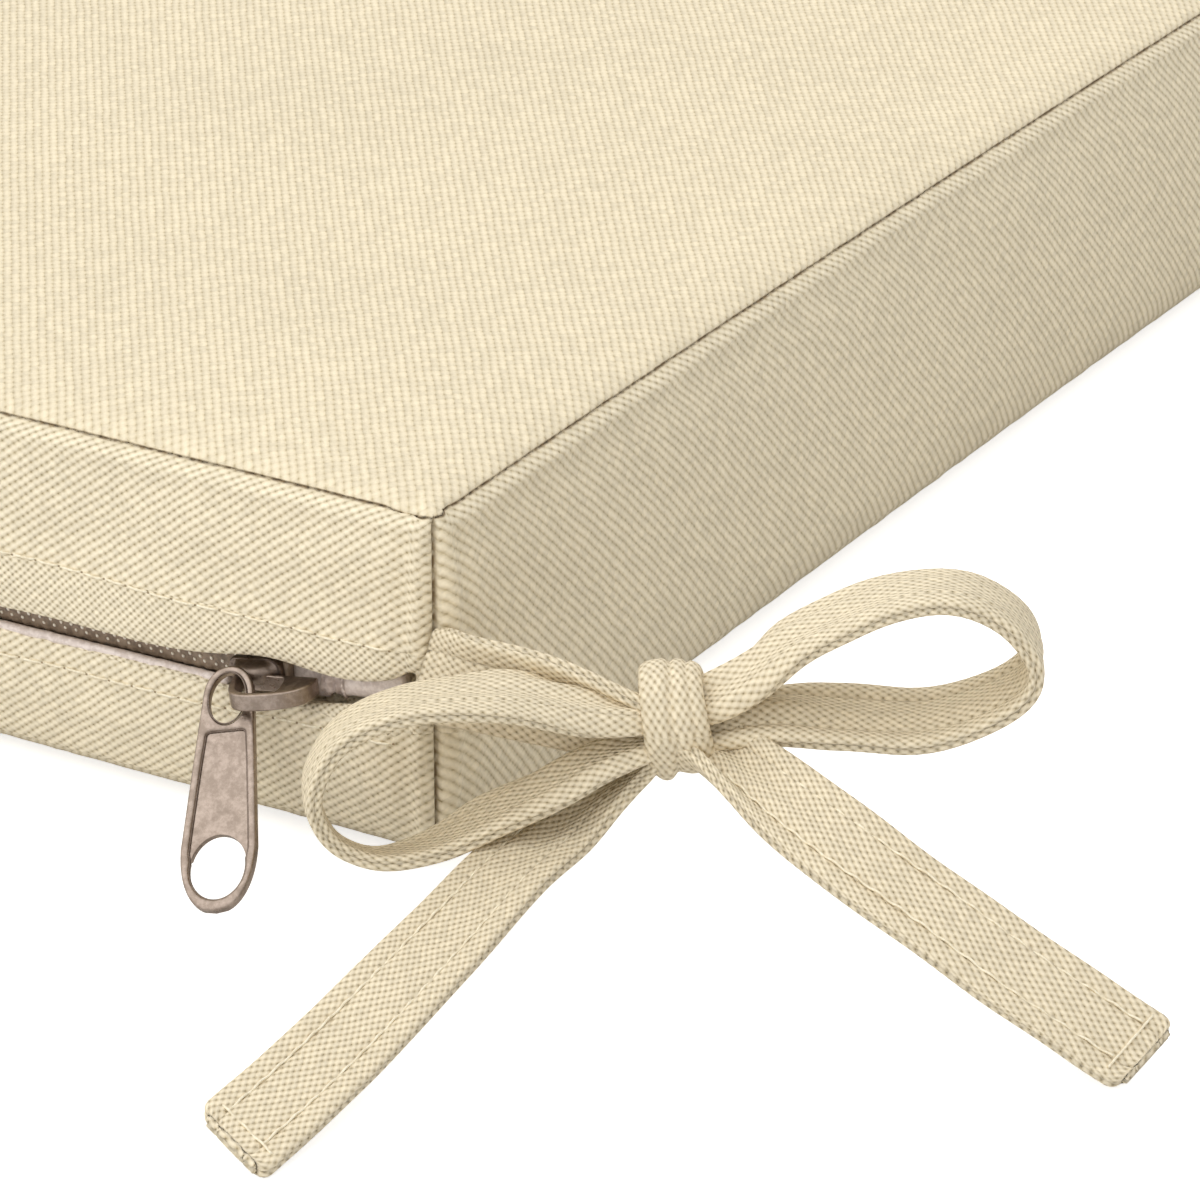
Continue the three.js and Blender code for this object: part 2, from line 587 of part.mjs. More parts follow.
// A strip of cloth along the rows of a table
function stripGeometry(rows, stepsPerRow = 1, cells = 4) {
  const route = new THREE.CatmullRomCurve3(
    rows.map((row) => bowPoint(row.across, row.out, row.up)), false, 'catmullrom', 0.5);
  const steps = (rows.length - 1) * stepsPerRow;
  const rings = [];
  for (let k = 0; k <= steps; k += 1) {
    const at = k / steps;
    const index = Math.min(Math.floor(at * (rows.length - 1)), rows.length - 2);
    const part = at * (rows.length - 1) - index;
    const [a, b] = [rows[index], rows[index + 1]];
    const tangent = route.getTangent(at);
    const side = bowVector(
      mix(a.sideAcross, b.sideAcross, part), mix(a.sideOut, b.sideOut, part), mix(a.sideUp, b.sideUp, part));
    side.normalize();
    const normal = new THREE.Vector3().crossVectors(tangent, side).normalize();
    const middle = route.getPoint(at);
    const section = stripSection(TIE_WIDTH, TIE_THICK, mix(a.cup, b.cup, part), cells);
    rings.push(section.map(([x, y]) => (
      middle.clone().addScaledVector(side, x).addScaledVector(normal, y).toArray())));
  }
  return loft(rings);
}

// The turn of cloth around the knot
function knotRing(steps = 14) {
  const rings = [];
  for (let k = 0; k < steps; k += 1) {
    const angle = (2 * Math.PI * k) / steps;
    const [c, s] = [Math.cos(angle), Math.sin(angle)];
    const outward = bowVector(0, c, s).normalize();
    const half = KNOT.width / 2;
    const { flat, edge, depth } = KNOT_FOLD;
    const crest = edge + TIE_THICK / 2;
    const section = [
      [-half, edge], [-half * flat, crest], [half * flat, crest], [half, edge],
      [half, -depth], [-half, -depth],
    ];
    rings.push(section.map(([x, y]) => {
      const lean = -KNOT.lean * KNOT.ringUp * s;
      const middle = bowPoint(KNOT.across + lean + x, KNOT.out + KNOT.ringOut * c, KNOT.up + KNOT.ringUp * s);
      return middle.addScaledVector(outward, y).toArray();
    }));
  }
  return loft(rings, true);
}

function knotCore() {
  const geometry = new THREE.SphereGeometry(1, 12, 8);
  geometry.scale(CORE.across, CORE.up, CORE.out);
  geometry.applyMatrix4(new THREE.Matrix4().makeBasis(ACROSS, UP, OUT));
  const middle = bowPoint(KNOT.across, KNOT.out, KNOT.up);
  geometry.translate(middle.x, middle.y, middle.z);
  return geometry;
}

function tieGeometry() {
  return joined([
    knotCore(), knotRing(), stripGeometry(ROOT), stripGeometry(LEFT_LOOP),
    stripGeometry(RIGHT_LOOP), stripGeometry(LEFT_TAIL), stripGeometry(RIGHT_TAIL),
  ]);
}

// The other corner's tie is this one's mirror image
function mirrored(geometry) {
  const copy = geometry.clone();
  copy.scale(-1, 1, 1);
  const index = copy.index.array;
  for (let i = 0; i < index.length; i += 3) {
    [index[i], index[i + 1]] = [index[i + 1], index[i]];
  }
  return copy;
}

function named(name, geometry, material) {
  const mesh = new THREE.Mesh(geometry, material);
  mesh.name = name;
  return mesh;
}

const cushion = new THREE.Group();
const tie = tieGeometry();
cushion.add(
  named('cushion', cushionGeometry(), MATERIALS.cover),
  named('zip_tape', tapeGeometry(), MATERIALS.tape),
  named('zip_coil', coilGeometry(), MATERIALS.coil),
  named('zip_slider', sliderGeometry(), MATERIALS.metal),
  named('zip_pull', pullGeometry(), MATERIALS.metal),
  named('tie_right', tie, MATERIALS.tie),
  named('tie_left', mirrored(tie), MATERIALS.tie),
);

export default cushion;
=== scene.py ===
"""Dresses the garden chair cushion: woven cover, seams, zip, slider, pull and knotted ties.

Sizes are in millimetres and in the solids' frame; new_mesh turns them into metres.
"""
import math

import bmesh
import bpy
import numpy as np
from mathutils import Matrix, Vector


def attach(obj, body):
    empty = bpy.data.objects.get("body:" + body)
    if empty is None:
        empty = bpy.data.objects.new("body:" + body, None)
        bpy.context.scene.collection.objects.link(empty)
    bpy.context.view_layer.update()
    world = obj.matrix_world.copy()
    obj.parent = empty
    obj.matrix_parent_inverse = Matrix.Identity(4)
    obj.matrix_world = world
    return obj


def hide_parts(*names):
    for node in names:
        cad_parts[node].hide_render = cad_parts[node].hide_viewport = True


MM = 0.001

# Camera, fitted to the photograph's corner and seams
CAMERA_AT = (538.2, -727.9, 294.4)
CAMERA_FORWARD = (-0.4637, 0.7904, -0.4003)
CAMERA_LENS = 185.4
CAMERA_SENSOR = 36.0

# Light: direction, and least and most strength, of the soft studio; one lamp, in metres and watts
SOFT_LIGHT_FROM = (-0.38, -0.42, 0.82)
SOFT_LIGHT = (0.32, 1.40)
SOFT_LIGHT_SPAN = (-0.6, 1.0)
LAMP = {"at": (-0.9, -1.2, 1.6), "aim": (0.15, -0.15, 0.02), "size": 1.4, "power": 2.0}
FLOOR_HALF = 3.0
FLOOR_LIFT = 0.66

# Cushion
SIDE = 440.0
HALF = SIDE / 2
HEIGHT = 42.0
DRAW_IN = 3.0
CROWN = 4.5
SEAM_ROLL = 1.3
SEAM_ROLL_REACH = 3.5
SEAM_EDGE = 0.35
SEAM_EDGE_REACH = 0.35
BULGE = 2.4
CORNER_REACH = {"zip": 2.6, "plain": 1.5}
CORNER_DIP = 0.85
BOTTOM_SEAM = 3.2
UNDER = [{"inset": (1.6, 2.5), "z": 1.3}, {"inset": (4.5, 7.0), "z": 0.0}]
GROOVE = {"depth": 0.26, "reach": 0.35}
ROLL_BESIDE_SEAM = {"at": 1.4, "reach": 0.85, "high": 0.65}
VALLEY_BESIDE_ROLL = {"at": 3.3, "reach": 0.9, "depth": 0.35}
TUCK = {"at": 3.4, "reach": 1.7, "depth": 0.55}
# Uneven filling, and puckers that the seams draw in: height, wavelength
UNEVEN = {"boxing": (0.35, 26.0), "top": (0.45, 60.0)}
PUCKERS = {"boxing": (0.10, 4.2), "top": (0.10, 4.0)}
# Reach of the painted shade line in a seam, and the share of the zip boxing's rows above its slot
SEAM_SHADE_REACH = 0.45
SLOT_SHARE = 0.57

# Zip
ZIP_MIDDLE = 18.0
ZIP_RISE = 1.9
ZIP_RISE_REACH = 45.0
ZIP_LIFT = 4.0
ZIP_LIFT_REACH = 6.0
SLOT_START = 1.2
SLOT_OPEN = 4.0
SLIDER_AT = 20.2
SLIDER_SPREAD = 7.0
SLIDER_LIP = 1.3
TAPE = {"back": -2.3, "front": -1.4, "half": 2.4, "end": 4.5}
# Its edge on the lower lip, as (out, rise), and how much of its unevenness each point takes
TAPE_EDGE = [(-1.0, -2.2), (-0.3, -1.8), (0.5, -1.2), (1.0, -1.0), (1.45, -1.1), (1.7, -1.5),
             (1.5, -1.9), (0.5, -1.9), (-0.3, -2.2), (-1.0, -2.5)]
TAPE_EDGE_MOVES = (0, 0.25, 0.5, 0.75, 1, 1, 0.75, 0.5, 0.25, 0)
TAPE_EDGE_START = 26.5
ROLL = {"out": -1.0, "deep": 1.2, "high": 1.62}
SLEEVE = {"end": 14.7, "length": 3.0, "deep": 1.32, "high": 1.75}
COIL = {"start": 19.0, "half": 1.6, "back": -1.05, "front": 0.35}
DOT_PITCH = 1.45
ZIP_UV_RATE = 2.4
# Stitches on each tooth of the coil: shift along it, out, rise, half-length, half-height
COIL_STITCHES = [(0.0, 0.12, 1.15, 0.46, 0.26), (0.35, 0.33, 0.20, 0.22, 0.20),
                 (-0.25, 0.35, -0.36, 0.20, 0.17)]

# Stitch lines on the zip side, by their height at a few distances from the photographed corner
TOPSTITCH = [
    {"at": (0, 8, 30, 60, 440), "z": (26.6, 26.5, 26.4, 26.7, 26.7)},
    {"at": (0, 8, 30, 60, 440), "z": (15.6, 15.4, 14.4, 14.0, 14.0)},
]
STITCH_LENGTH = 3.1
THREAD_RADIUS = 0.15
NEEDLE_HOLE = (0.2, 0.05, 0.13)
# The cloth above this height is doubled and pressed, up to the first stitch line
PRESSED_FROM = 16.8

# Slider, pull
PLATE = {"length": 6.8, "wide": 3.6, "narrow": 2.8, "shift": 2.6, "lift": 0.2}
# Rings of its dome: size, and how far each stands out
DOME_RINGS = [(1.0, -1.2), (1.0, 0.55), (0.985, 0.78), (0.95, 0.9), (0.90, 0.9), (0.85, 0.86),
              (0.78, 0.98), (0.68, 1.45), (0.55, 1.95), (0.40, 2.3), (0.25, 2.5), (0.10, 2.58)]
# Painted shade on the metal: how dark the slider's whole dome is, and the lines in the pull's hollows
DOME_SHADE = 0.45
HOLLOW_LINE_SHADE = 0.6
PLATE_TURN = {"yaw": 3.0, "tilt": 4.0}
BRIDGE = {"length": 10.0, "reach": 7.6, "high": 1.9, "thick": 0.8, "base": 1.5, "slope": 0.34,
          "web": 0.5, "open_to": -0.8, "lift": -0.5}
BRIDGE_TURN = {"yaw": 20.0, "tilt": 9.0}
PULL = {"length": 28.6, "thick": 1.2, "ring_half": 2.9, "neck_half": 3.2, "foot_half": 4.3,
        "ring_at": 3.8, "neck_at": 7.2, "eye_top": 0.8, "eye_length": 6.1, "eye_half": 2.15,
        "hole_top": 19.7, "hole_length": 7.6, "hole_half": 3.25,
        "recess_top": 7.6, "recess_inset": 0.6, "recess_depth": 0.42}
PULL_TOP = (-22.45, -10.6, 20.1)
PULL_DOWN = (-0.033, 0.75, -0.66)
PULL_SIDE = (0.95, 0.2, 0.21)

# Ties; a row of a strip's table is across, out, up, side across, side out, side up, cup
BOW_TURN = 30.4
TIE_WIDTH = 11.0
TIE_THICK = 1.6
ROUTE_STEP = 0.7
# Stitching of a tie: place of its rows as a share of the width, and the thread's way in and out
TIE_ROWS_AT = 0.262
TIE_THREAD = {"radius": 0.14, "pitch": 2.9, "step": 0.35, "start": 9.0, "before_end": 2.0,
              "row": (0.70, 0.14), "end_row": (0.80, 0.12)}
# The end of a tail: radius of its corners, and where rings lie closer before it
END_ROUND = 1.3
END_STEPS = (0.0, 0.15, 0.4, 0.75, 1.3)
KNOT = {"across": 25.5, "out": 10.0, "up": 23.8, "ring_out": 4.4, "ring_up": 4.7, "lean": 0.16,
        "width": 7.2}
# Gathers down the knot: place across it, depth, half-width; their valleys are painted darker (painted
# shade)
KNOT_GATHERS = [(-0.12, 0.42, 0.10), (0.58, 0.34, 0.09)]
# How much narrower the strips are at the knot
KNOT_SQUEEZE = {"loop": 0.42, "tail": 0.25, "reach": 6.0}
ROOT = [
    (-1.2, 0.3, 24.3, 0.3, 0, 1, 0),
    (0.2, 1.5, 24.7, 0.2, 0, 1, 5),
    (1.8, 2.6, 24.8, 0.1, 0, 1, 10),
    (4.2, 3.9, 24.9, 0, 0.05, 1, 20),
    (10.1, 6, 24.5, 0, 0.1, 1, 35),
    (17.4, 8, 23.8, 0, 0.2, 1, 90),
    (23, 9.5, 23.4, 0, 0.3, 1, 150),
]
LEFT_LOOP = [
    (23.4, 11, 25.3, 0.05, 1, 0, -170),
    (18, 11.8, 26, 0, 1, 0, -110),
    (12.2, 12.6, 27, 0, 1, 0, -35),
    (7, 13.3, 27.8, 0, 1, 0, -5),
    (1.9, 14, 27.7, 0, 1, 0.08, 0),
    (-3.4, 14, 26.7, 0, 0.99, 0.11, 0),
    (-8.3, 14, 24.4, 0.02, 0.99, 0.11, 0),
    (-11.3, 14, 21.3, 0.07, 0.99, 0.13, 0),
    (-12.7, 14, 16.8, 0.1, 0.98, 0.17, 0),
    (-11.4, 14, 12.2, 0.08, 0.95, 0.3, 0),
    (-8.8, 14, 9.9, 0.07, 0.94, 0.33, 0),
    (-5, 14, 9.1, 0.1, 0.94, 0.3, 0),
    (-0.1, 13.7, 10.4, 0.16, 0.96, 0.24, 0),
    (6.2, 13, 14.1, 0.25, 0.95, 0.16, 20),
    (12.3, 12.4, 17.9, 0.24, 0.95, 0.16, 80),
    (17.6, 11.7, 20.6, 0.16, 0.96, 0.2, 110),
    (23.6, 10.7, 22.4, 0.05, 1, 0.1, 170),
]
RIGHT_LOOP = [
    (26.2, 10.3, 25.6, 0, 1, -0.2, 170),
    (31.2, 10.2, 28.2, 0.1, 1, -0.06, 120),
    (37.3, 10.1, 32.4, 0.18, 0.98, 0.05, 25),
    (43.5, 10, 35.7, 0.12, 0.99, 0.07, 0),
    (50, 10, 37.7, 0, 1, 0.08, 0),
    (55.8, 10, 37.5, -0.13, 0.99, 0.08, 0),
    (60.6, 10, 34.8, -0.16, 0.98, 0.13, 0),
    (63, 10, 30.8, -0.05, 1, 0.1, 0),
    (61.5, 10, 27.5, 0.03, 1, 0, 0),
    (56.5, 10, 24.5, -0.05, 0.99, -0.12, 0),
    (50, 10, 23.2, -0.07, 0.98, -0.18, 0),
    (42.5, 10, 23.8, -0.08, 0.98, -0.18, 0),
    (35, 10, 24.5, -0.02, 0.99, -0.11, -70),
    (26.4, 10, 23, 0, 1, -0.1, -170),
]
LEFT_TAIL = [
    (24.2, 10.2, 21.5, 0.6, 0.78, -0.2, 170),
    (20.4, 8.8, 17.2, 0.6, 0.78, -0.2, 120),
    (17.2, 9.8, 14.7, 0.6, 0.78, -0.12, 70),
    (13.3, 12.9, 12.2, 0.62, 0.78, -0.08, 30),
    (8.3, 20.6, 11, 0.62, 0.78, -0.04, 10),
    (2.4, 31.1, 9.3, 0.6, 0.78, -0.15, 5),
    (-4.4, 42.7, 7, 0.59, 0.77, -0.25, 0),
    (-11.5, 53.7, 4.5, 0.62, 0.74, -0.27, 0),
    (-18.7, 63.9, 2.3, 0.62, 0.75, -0.24, 0),
]
RIGHT_TAIL = [
    (25.8, 10, 20.8, 0.58, -0.8, 0.2, 170),
    (29.7, 13, 20.5, 0.58, -0.8, 0.2, 150),
    (33, 17.6, 20, 0.52, -0.83, 0.22, 95),
    (37.2, 23.2, 19.2, 0.5, -0.81, 0.3, 35),
    (43, 29.5, 17.5, 0.49, -0.81, 0.32, 10),
    (50.5, 35, 14.2, 0.5, -0.82, 0.28, 0),
    (60, 40.5, 9, 0.5, -0.81, 0.29, 0),
    (66.5, 43.3, 5.6, 0.52, -0.8, 0.3, 0),
    (72.5, 45.6, 2.4, 0.58, -0.77, 0.24, 0),
]

# Weave: cycles per millimetre of the two diagonals of the cloth, for each panel
WEAVE_TOP = ((0.85, 0.60), (0.51, -0.62))
WEAVE_ZIP = ((0.66, -0.88), (0.73, 0.98))
WEAVE_PLAIN = ((0.66, 0.72), (0.68, -0.70))
WEAVE_TIE = ((0.78, 1.15), (0.72, -1.15))
# The cover's two phases beside the zip, from its own two
PRESSED_WEAVE = ((1.25, 0.15), (-0.10, 1.30))
# How much the ribs stand out over the pearls, and how strong the whole weave is
RIBS = {"cover": 0.5, "tie": 0.32, "pressed": 0.2, "satin": 0.78}
STRENGTH = {"satin": 0.8, "stretched": 0.55}
PHASE_DRIFT = (0.35, 0.5)
SPECKS = (0.38, 0.85)


def smooth(t):
    c = np.clip(t, 0.0, 1.0)
    return c * c * (3 - 2 * c)


def mix(a, b, t):
    return a + (b - a) * t


def around_circle(count):
    """Angles of evenly spaced places on a circle."""
    return 2 * math.pi * np.arange(count) / count


def closed_ring(index):
    """Rows of point numbers that end where they start."""
    return np.concatenate([index, index[:, :1]], axis=1)


def hump(place, at, reach):
    """A smooth bump, 1 high, around a place."""
    return np.exp(-(((place - at) / reach) ** 2))


def draw_in(s):
    share = s / SIDE
    return 4 * DRAW_IN * share * (1 - share)


def zip_height(s):
    return ZIP_MIDDLE + ZIP_RISE * np.exp(-s / ZIP_RISE_REACH) + ZIP_LIFT * np.exp(-s / ZIP_LIFT_REACH)


def wobble(x, y, seed, wavelength, waves=7):
    """A soft uneven surface: a few waves of random direction and phase, from -1 to 1."""
    draw = np.random.default_rng(seed)
    total = np.zeros(np.broadcast(x, y).shape)
    for _ in range(waves):
        angle = draw.uniform(0, 2 * math.pi)
        phase = draw.uniform(0, 2 * math.pi)
        rate = 2 * math.pi / (wavelength * draw.uniform(0.6, 1.7))
        total += np.sin((x * math.cos(angle) + y * math.sin(angle)) * rate + phase)
    return total / waves ** 0.5 / 1.4


def new_mesh(name, points, faces, weave=None, **shares):
    """A mesh object from points in millimetres, UV pairs of face corners and shares of points."""
    mesh = bpy.data.meshes.new(name)
    mesh.from_pydata((np.asarray(points, dtype=float) * MM).tolist(), [], faces)
    if weave is not None:
        layer = mesh.uv_layers.new(name="weave")
        layer.data.foreach_set("uv", np.asarray(weave, dtype=np.float32).ravel())
    for label, values in shares.items():
        attribute = mesh.attributes.new(label, "FLOAT", "POINT")
        attribute.data.foreach_set("value", np.asarray(values, dtype=np.float32))
    mesh.validate()
    mesh.update()
    mesh.shade_smooth()
    piece = bpy.data.objects.new(name, mesh)
    link(piece)
    return piece


class Builder:
    """Collects points, faces and corner UVs of one mesh."""

    def __init__(self):
        self.points = []
        self.faces = []
        self.weave = []
        self.crease = []

    def add_points(self, points, crease=None):
        start = len(self.points)
        points = np.asarray(points, dtype=float).reshape(-1, 3)
        self.points.extend(points.tolist())
        self.crease.extend([0.0] * len(points) if crease is None else np.ravel(crease).tolist())
        return np.arange(start, start + len(points))

    def add_grid(self, index, weave, flip=False):
        """Quads over a 2-D array of point numbers; weave has a UV pair for each grid place."""
        rows, columns = index.shape
        for i in range(rows - 1):
            for j in range(columns - 1):
                corners = [(i, j), (i, j + 1), (i + 1, j + 1), (i + 1, j)]
                if flip:
                    corners.reverse()
                # a corner that meets the one before it is left out, which makes a triangle
                kept = [c for k, c in enumerate(corners) if index[c] != index[corners[k - 1]]]
                if len(kept) < 3:
                    continue
                self.faces.append([int(index[c]) for c in kept])
                self.weave.extend(weave[c] for c in kept)

    def add_capped(self, rings, hubs, uv, crease=None, flip=True):
        """A closed skin over rings of points, drawn together to a hub at both ends."""
        index = closed_ring(self.add_points(rings, crease).reshape(rings.shape[:2]))
        ends = [np.full(index.shape[1], self.add_points([hub])[0]) for hub in hubs]
        self.add_grid(np.concatenate([ends[:1], index, ends[1:]]), uv, flip=flip)

    def mirror_x(self):
        """Swaps left and right, with each face turned over so that it still faces out."""
        self.points = [[-x, y, z] for x, y, z in self.points]
        turned_over = []
        start = 0
        for face in self.faces:
            turned_over.extend(self.weave[start:start + len(face)][::-1])
            start += len(face)
        self.faces = [face[::-1] for face in self.faces]
        self.weave = turned_over

    def finish(self, name, **shares):
        return new_mesh(name, self.points, self.faces, self.weave, crease_shade=self.crease, **shares)


def phases(pair, u, v):
    """The two diagonal phases of a weave at cloth place (u, v)."""
    (ax, ay), (bx, by) = pair
    return np.stack([ax * u + ay * v, bx * u + by * v], axis=-1)


def grid_uv(u, v):
    """A UV pair for each place of a grid from one value a row and one a column."""
    return np.stack(np.broadcast_arrays(u[:, None], v[None, :]), axis=-1)


def graded_distances():
    """Distances from the photographed corner: close beside seams and near that corner."""
    steps = [0.0, 0.3, 0.7, 1.2]
    while steps[-1] < SIDE:
        s = steps[-1]
        gap = min(0.75 + 0.012 * s, 3.2)
        steps.append(s + min(gap, 0.7 + 0.08 * max(SIDE - s, 0.0)))
    scale = (SIDE - 1.2) / steps[-1]
    inner = [s * scale for s in steps[:-1]]
    return np.array(inner + [SIDE - 0.7, SIDE - 0.3, SIDE])


# Rows down a boxing: height at the corner, height over the zip where the slot is open
# (None where the height holds), how far the cloth stands out there, inside the slot or not
BOXING_ROWS = [
    (42.0, None, 0.0, False),
    (39.8, None, 1.2, False),
    (35.5, 15.8, 2.1, False),
    (31.5, 10.5, 2.2, False),
    (28.0, 5.5, 2.9, False),
    (25.6, 2.8, 3.0, False),
    (24.6, 1.5, 2.4, False),
    (24.0, 2.9, -0.9, True),
    (23.4, 2.8, -2.9, True),
    (22.8, -2.8, -2.9, True),
    (22.2, -2.9, -0.9, True),
    (21.6, -1.5, 1.1, False),
    (20.0, -3.0, 1.9, False),
    (14.5, -8.0, 1.8, False),
    (8.0, None, 1.4, False),
    (BOTTOM_SEAM, None, 0.0, False),
]
# Finer rows between two of those, as shares; close beside the two seams
FIRST_SPLIT = (0.0, 0.12, 0.28, 0.5, 0.75)
LAST_SPLIT = (0.0, 0.3, 0.6, 0.8, 0.93)
MIDDLE_SPLIT = (0.0, 0.33, 0.67)


def plain_bulge(z):
    share = (z - BOTTOM_SEAM) / (HEIGHT - BOTTOM_SEAM)
    return BULGE * (1 - (2 * share - 1) ** 4)


def catmull(points, index, share):
    """A smooth curve through points (last axis but one), between index and index + 1."""
    count = points.shape[-2]
    p1 = points[..., index, :]
    p2 = points[..., index + 1, :]
    p0 = points[..., index - 1, :] if index > 0 else 2 * p1 - p2
    p3 = points[..., index + 2, :] if index + 2 < count else 2 * p2 - p1
    a = -0.5 * p0 + 1.5 * p1 - 1.5 * p2 + 0.5 * p3
    b = p0 - 2.5 * p1 + 2 * p2 - 0.5 * p3
    c = 0.5 * (p2 - p0)
    return ((a * share + b) * share + c) * share + p1


def split_rows(points):
    """Finer rows of a boxing from its control rows: the last axis is (out, z)."""
    rows = []
    last = points.shape[-2] - 2
    for index in range(last + 1):
        split = FIRST_SPLIT if index == 0 else LAST_SPLIT if index == last else MIDDLE_SPLIT
        rows.extend(catmull(points, index, share) for share in split)
    rows.append(points[..., -1, :])
    return np.stack(rows, axis=-2)


def control_rows(distances, s, stand, kind):
    """The coarse rows of a boxing; s is the distance from the nearer corner."""
    opening = smooth((s - SLOT_START) / (SLOT_OPEN - SLOT_START)) if kind == "zip" else 0 * s
    spread = SLIDER_LIP * hump(distances, SLIDER_AT, SLIDER_SPREAD)
    rows = []
    for z, rise, out, inner in BOXING_ROWS:
        height = np.full_like(s, z)
        if rise is not None:
            lip = abs(rise) <= 3 and not inner
            height = zip_height(s) + rise + (np.sign(rise) * spread if lip else 0)
        height = mix(z, height, opening)
        seamed = out if kind == "zip" and not inner else plain_bulge(z)
        place = mix(seamed * stand, out if kind == "zip" else seamed, opening * inner)
        rows.append(np.stack([place - draw_in(s), height], axis=-1))
    return np.stack(rows, axis=-2)


def boxing_profile(distances, kind, seed):
    """(out, z) of each fine row, for each distance from the side's first corner."""
    s = np.minimum(distances, SIDE - distances)
    stand = 1 - np.exp(-s / CORNER_REACH[kind])
    fine = split_rows(control_rows(distances, s, stand, kind))
    z = fine[..., 1]
    # uneven filling, fading out at the seams
    hold = smooth((HEIGHT - z) / 6) * smooth((z - BOTTOM_SEAM) / 5) * smooth(s / 8)[:, None]
    station = np.broadcast_to(distances[:, None], z.shape)
    high, wavelength = UNEVEN["boxing"]
    fine[..., 0] += hold * high * wobble(station, z, seed, wavelength)
    # puckers, strongest at the seams
    near = np.exp(-(HEIGHT - z) / 3.0) + np.exp(-(z - BOTTOM_SEAM) / 3.0)
    high, wavelength = PUCKERS["boxing"]
    fine[..., 0] += stand[:, None] * near * high * wobble(station, z * 0.3, seed + 1, wavelength)
    # the cloth rolls round the seam allowance beside the top seam and the corner seam
    at, reach, high = (ROLL_BESIDE_SEAM[key] for key in ("at", "reach", "high"))
    roll = np.maximum(hump(HEIGHT - z, at, reach), hump(s[:, None], at, reach))
    fine[..., 0] += high * roll * smooth(s / 0.7)[:, None]
    at, reach, depth = (VALLEY_BESIDE_ROLL[key] for key in ("at", "reach", "depth"))
    fine[..., 0] -= depth * hump(s[:, None], at, reach)
    groove = hump(z, HEIGHT, GROOVE["reach"]) + hump(z, BOTTOM_SEAM, GROOVE["reach"])
    fine[..., 0] -= GROOVE["depth"] * np.clip(groove, 0, 1)
    return fine


def seam_line(distances, kind):
    """How far the top seam hangs below its level: a small tuck beside the corner."""
    if kind != "zip":
        return 0 * distances
    return TUCK["depth"] * hump(distances, TUCK["at"], TUCK["reach"])


def crown_height(x, y, edge):
    roll = SEAM_ROLL * (1 - np.exp(-edge / SEAM_ROLL_REACH))
    roll += SEAM_EDGE * (1 - np.exp(-edge / SEAM_EDGE_REACH))
    dome = (1 - (x / HALF) ** 2) * (1 - (y / HALF) ** 2)
    high, wavelength = UNEVEN["top"]
    soft = smooth(edge / 12) * high * wobble(x, y, 5, wavelength)
    high, wavelength = PUCKERS["top"]
    pucker = np.exp(-edge / 3.5) * smooth(edge / 0.8) * high * wobble(x, y, 6, wavelength)
    return roll + CROWN * dome + soft + pucker


def side_place(side, distance, out):
    """(x, y) of a boxing point; distance runs from the photographed corner's end."""
    if side == "zip":
        return HALF - distance, -HALF - out
    if side == "right":
        return HALF + out, -HALF + distance
    if side == "back":
        return HALF - distance, HALF + out
    return -HALF - out, -HALF + distance


SIDES = {
    # name: kind of profile, seed, weave, sign of the cloth's u, whether its faces are turned over
    "right": ("plain", 11, WEAVE_PLAIN, 1, False),
    "back": ("plain", 12, WEAVE_ZIP, 1, False),
    "left": ("plain", 13, WEAVE_PLAIN, -1, True),
    "zip": ("zip", 14, WEAVE_ZIP, -1, True),
}


def add_boxing_points(build, name, distances, profile, corners):
    """Point numbers of a boxing's grid; corners keeps the columns that two boxings share."""
    grid = np.zeros(profile.shape[:2], dtype=int)
    for i, distance in enumerate(distances):
        out, height = profile[i].T
        z = height.copy()
        z[0] -= seam_line(distance, SIDES[name][0])
        if i in (0, len(distances) - 1):
            corner = tuple(round(c) for c in side_place(name, distance, 0.0))
            if corner not in corners:
                dip = CORNER_DIP + np.where(height < HEIGHT, 0.0, -0.2)
                x, y = (np.full_like(z, c) - np.sign(c) * dip for c in corner)
                # painted shade: the corner seam's points are marked fully dark
                corners[corner] = build.add_points(np.stack([x, y, z], axis=-1), np.ones_like(z))
            grid[i] = corners[corner]
            continue
        x, y = side_place(name, np.full_like(z, distance), out)
        end = min(distance, SIDE - distance)
        gap = np.maximum(np.minimum(HEIGHT - height, end), 0)
        # painted shade: points beside the top seam and the corner seam are marked darker
        grid[i] = build.add_points(np.stack([x, y, z], axis=-1), hump(gap, 0, SEAM_SHADE_REACH))
    return grid


def add_boxing_faces(build, name, distances, profile, grid):
    """A boxing's faces, with the weave measured along the cloth and down it."""
    kind, _, weave, sign, flip = SIDES[name]
    step = np.hypot(np.diff(profile[..., 0], axis=1), np.diff(profile[..., 1], axis=1))
    down = np.concatenate([np.zeros((len(distances), 1)), np.cumsum(step, axis=1)], axis=1)
    if kind == "zip":
        # below the slot the cloth is measured from the bottom seam, so the fold doesn't shear the weave
        low = down - down[:, -1:] + HEIGHT - BOTTOM_SEAM
        down = np.where(np.arange(down.shape[1]) < down.shape[1] * SLOT_SHARE, down, low)
    u = np.broadcast_to(sign * distances[:, None], down.shape)
    build.add_grid(grid, phases(weave, u, -down), flip=flip)


